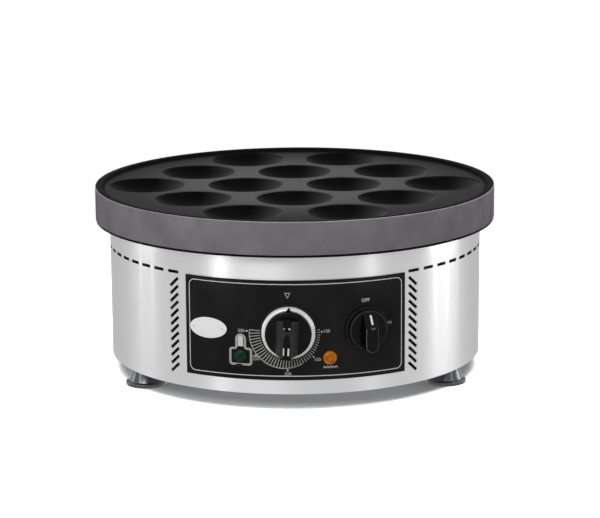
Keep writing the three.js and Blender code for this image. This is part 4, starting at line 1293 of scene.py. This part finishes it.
def make_floor():
    """Pale where it takes light, white in reflections, and white far away for the camera."""
    clear()
    bpy.ops.mesh.primitive_plane_add(size=floor_size, location=(0, 0, 0))
    floor = bpy.context.object
    floor.name = "floor"
    material = bpy.data.materials.new("pale_floor")
    material.use_nodes = True
    tree = material.node_tree
    shader = tree.nodes["Principled BSDF"]
    shader.inputs["Roughness"].default_value = 0.9
    shader.inputs["Specular IOR Level"].default_value = 0.0
    shader.inputs["Base Color"].default_value = (*grey(floor_grey), 1)
    lit = shader.outputs["BSDF"]
    white = node_of(tree, "ShaderNodeEmission").outputs["Emission"]
    corner = node_of(tree, "ShaderNodeAmbientOcclusion", samples=24)
    corner.inputs["Distance"].default_value = shadow_reach
    low, high = grey(shadow_dark), grey(shadow_pale)
    shade = ramp(tree, corner.outputs["AO"], low, high, shadow_start, shadow_end)
    pale = node_of(tree, "ShaderNodeBsdfDiffuse")
    tree.links.new(shade, pale.inputs["Color"])
    place = node_of(tree, "ShaderNodeTexCoord")
    nearness = node_of(tree, "ShaderNodeTexGradient", gradient_type="SPHERICAL")
    tree.links.new(place.outputs["Object"], nearness.inputs["Vector"])
    near = spread(tree, nearness.outputs["Fac"], 0, 1, 0.3, 0.6)
    shadowed = mixed(tree, near, white, pale.outputs["BSDF"])
    mirrored = mixed(tree, seen_rays(tree, "Is Glossy Ray"), lit, white)
    shown = mixed(tree, seen_rays(tree, "Is Camera Ray"), mirrored, shadowed)
    tree.links.new(shown, tree.nodes["Material Output"].inputs["Surface"])
    floor.data.materials.append(material)


def make_world():
    world = bpy.data.worlds.new("studio")
    bpy.context.scene.world = world
    world.use_nodes = True
    tree = world.node_tree
    dim = tree.nodes["Background"]
    white = node_of(tree, "ShaderNodeBackground")
    for background, strength in ((dim, ambient), (white, 1)):
        background.inputs["Color"].default_value = (1, 1, 1, 1)
        background.inputs["Strength"].default_value = strength
    seen = seen_rays(tree, "Is Camera Ray", "Is Glossy Ray", "Is Transmission Ray")
    shown = mixed(tree, seen, dim.outputs["Background"], white.outputs["Background"])
    tree.links.new(shown, tree.nodes["World Output"].inputs["Surface"])


def make_lamp(name, at, width, height, power):
    light = bpy.data.lights.new(name, "AREA")
    light.shape = "RECTANGLE"
    light.size, light.size_y = width, height
    light.energy = power
    box = bpy.data.objects.new(name, light)
    bpy.context.scene.collection.objects.link(box)
    aim = (Vector(lamp_target) - Vector(at)).to_track_quat("-Z", "Y")
    box.location = at
    box.rotation_mode = "QUATERNION"
    box.rotation_quaternion = aim


def make_camera():
    """Looks along +Y, turned down by the pitch and right by the yaw, and then rolled."""
    level_ahead = Vector((math.sin(camera_yaw), math.cos(camera_yaw), 0))
    right = Vector((math.cos(camera_yaw), -math.sin(camera_yaw), 0))
    up = Vector((0, 0, 1))
    ahead = level_ahead * math.cos(camera_pitch) - up * math.sin(camera_pitch)
    above = level_ahead * math.sin(camera_pitch) + up * math.cos(camera_pitch)
    x = right * math.cos(camera_roll) + above * math.sin(camera_roll)
    y = above * math.cos(camera_roll) - right * math.sin(camera_roll)
    data = bpy.data.cameras.new("camera")
    data.lens, data.sensor_width = camera_lens, film_w
    data.clip_end = 50
    camera = bpy.data.objects.new("camera", data)
    bpy.context.scene.collection.objects.link(camera)
    turn = Matrix((x, y, -ahead)).transposed().to_4x4()
    camera.matrix_world = shift(*camera_place) @ turn
    bpy.context.scene.camera = camera


make_camera()
make_floor()
make_world()
for lamp in lamps:
    make_lamp(*lamp)
dress_frame()
make_plate()
make_shell()
make_seal_and_shade()
make_panel()
make_badge()
make_print()
make_thermostat_knob()
make_switch_knob()
green_looks, amber_looks = [green_look, green_look], [amber_look, amber_painted_shade_look]
make_lens("green_signal", green_looks, green_x, green_y, green_d, "lens_green", "green_lens")
make_lens(
    "amber_signal", amber_looks, amber_x, amber_y, amber_d, "lens_amber", "amber_lens", amber_rings,
)
for side in ("front_left", "front_right", "rear"):
    make_foot(side)
    make_screw("foot_fixing_" + side, "foot_screw_" + side, *foot_screw)
for number in ("1", "2", "3"):
    make_screw("base_fixing_" + number, "base_screw_" + number, *base_screw)
make_gland()

bpy.context.scene.view_settings.view_transform = "Standard"
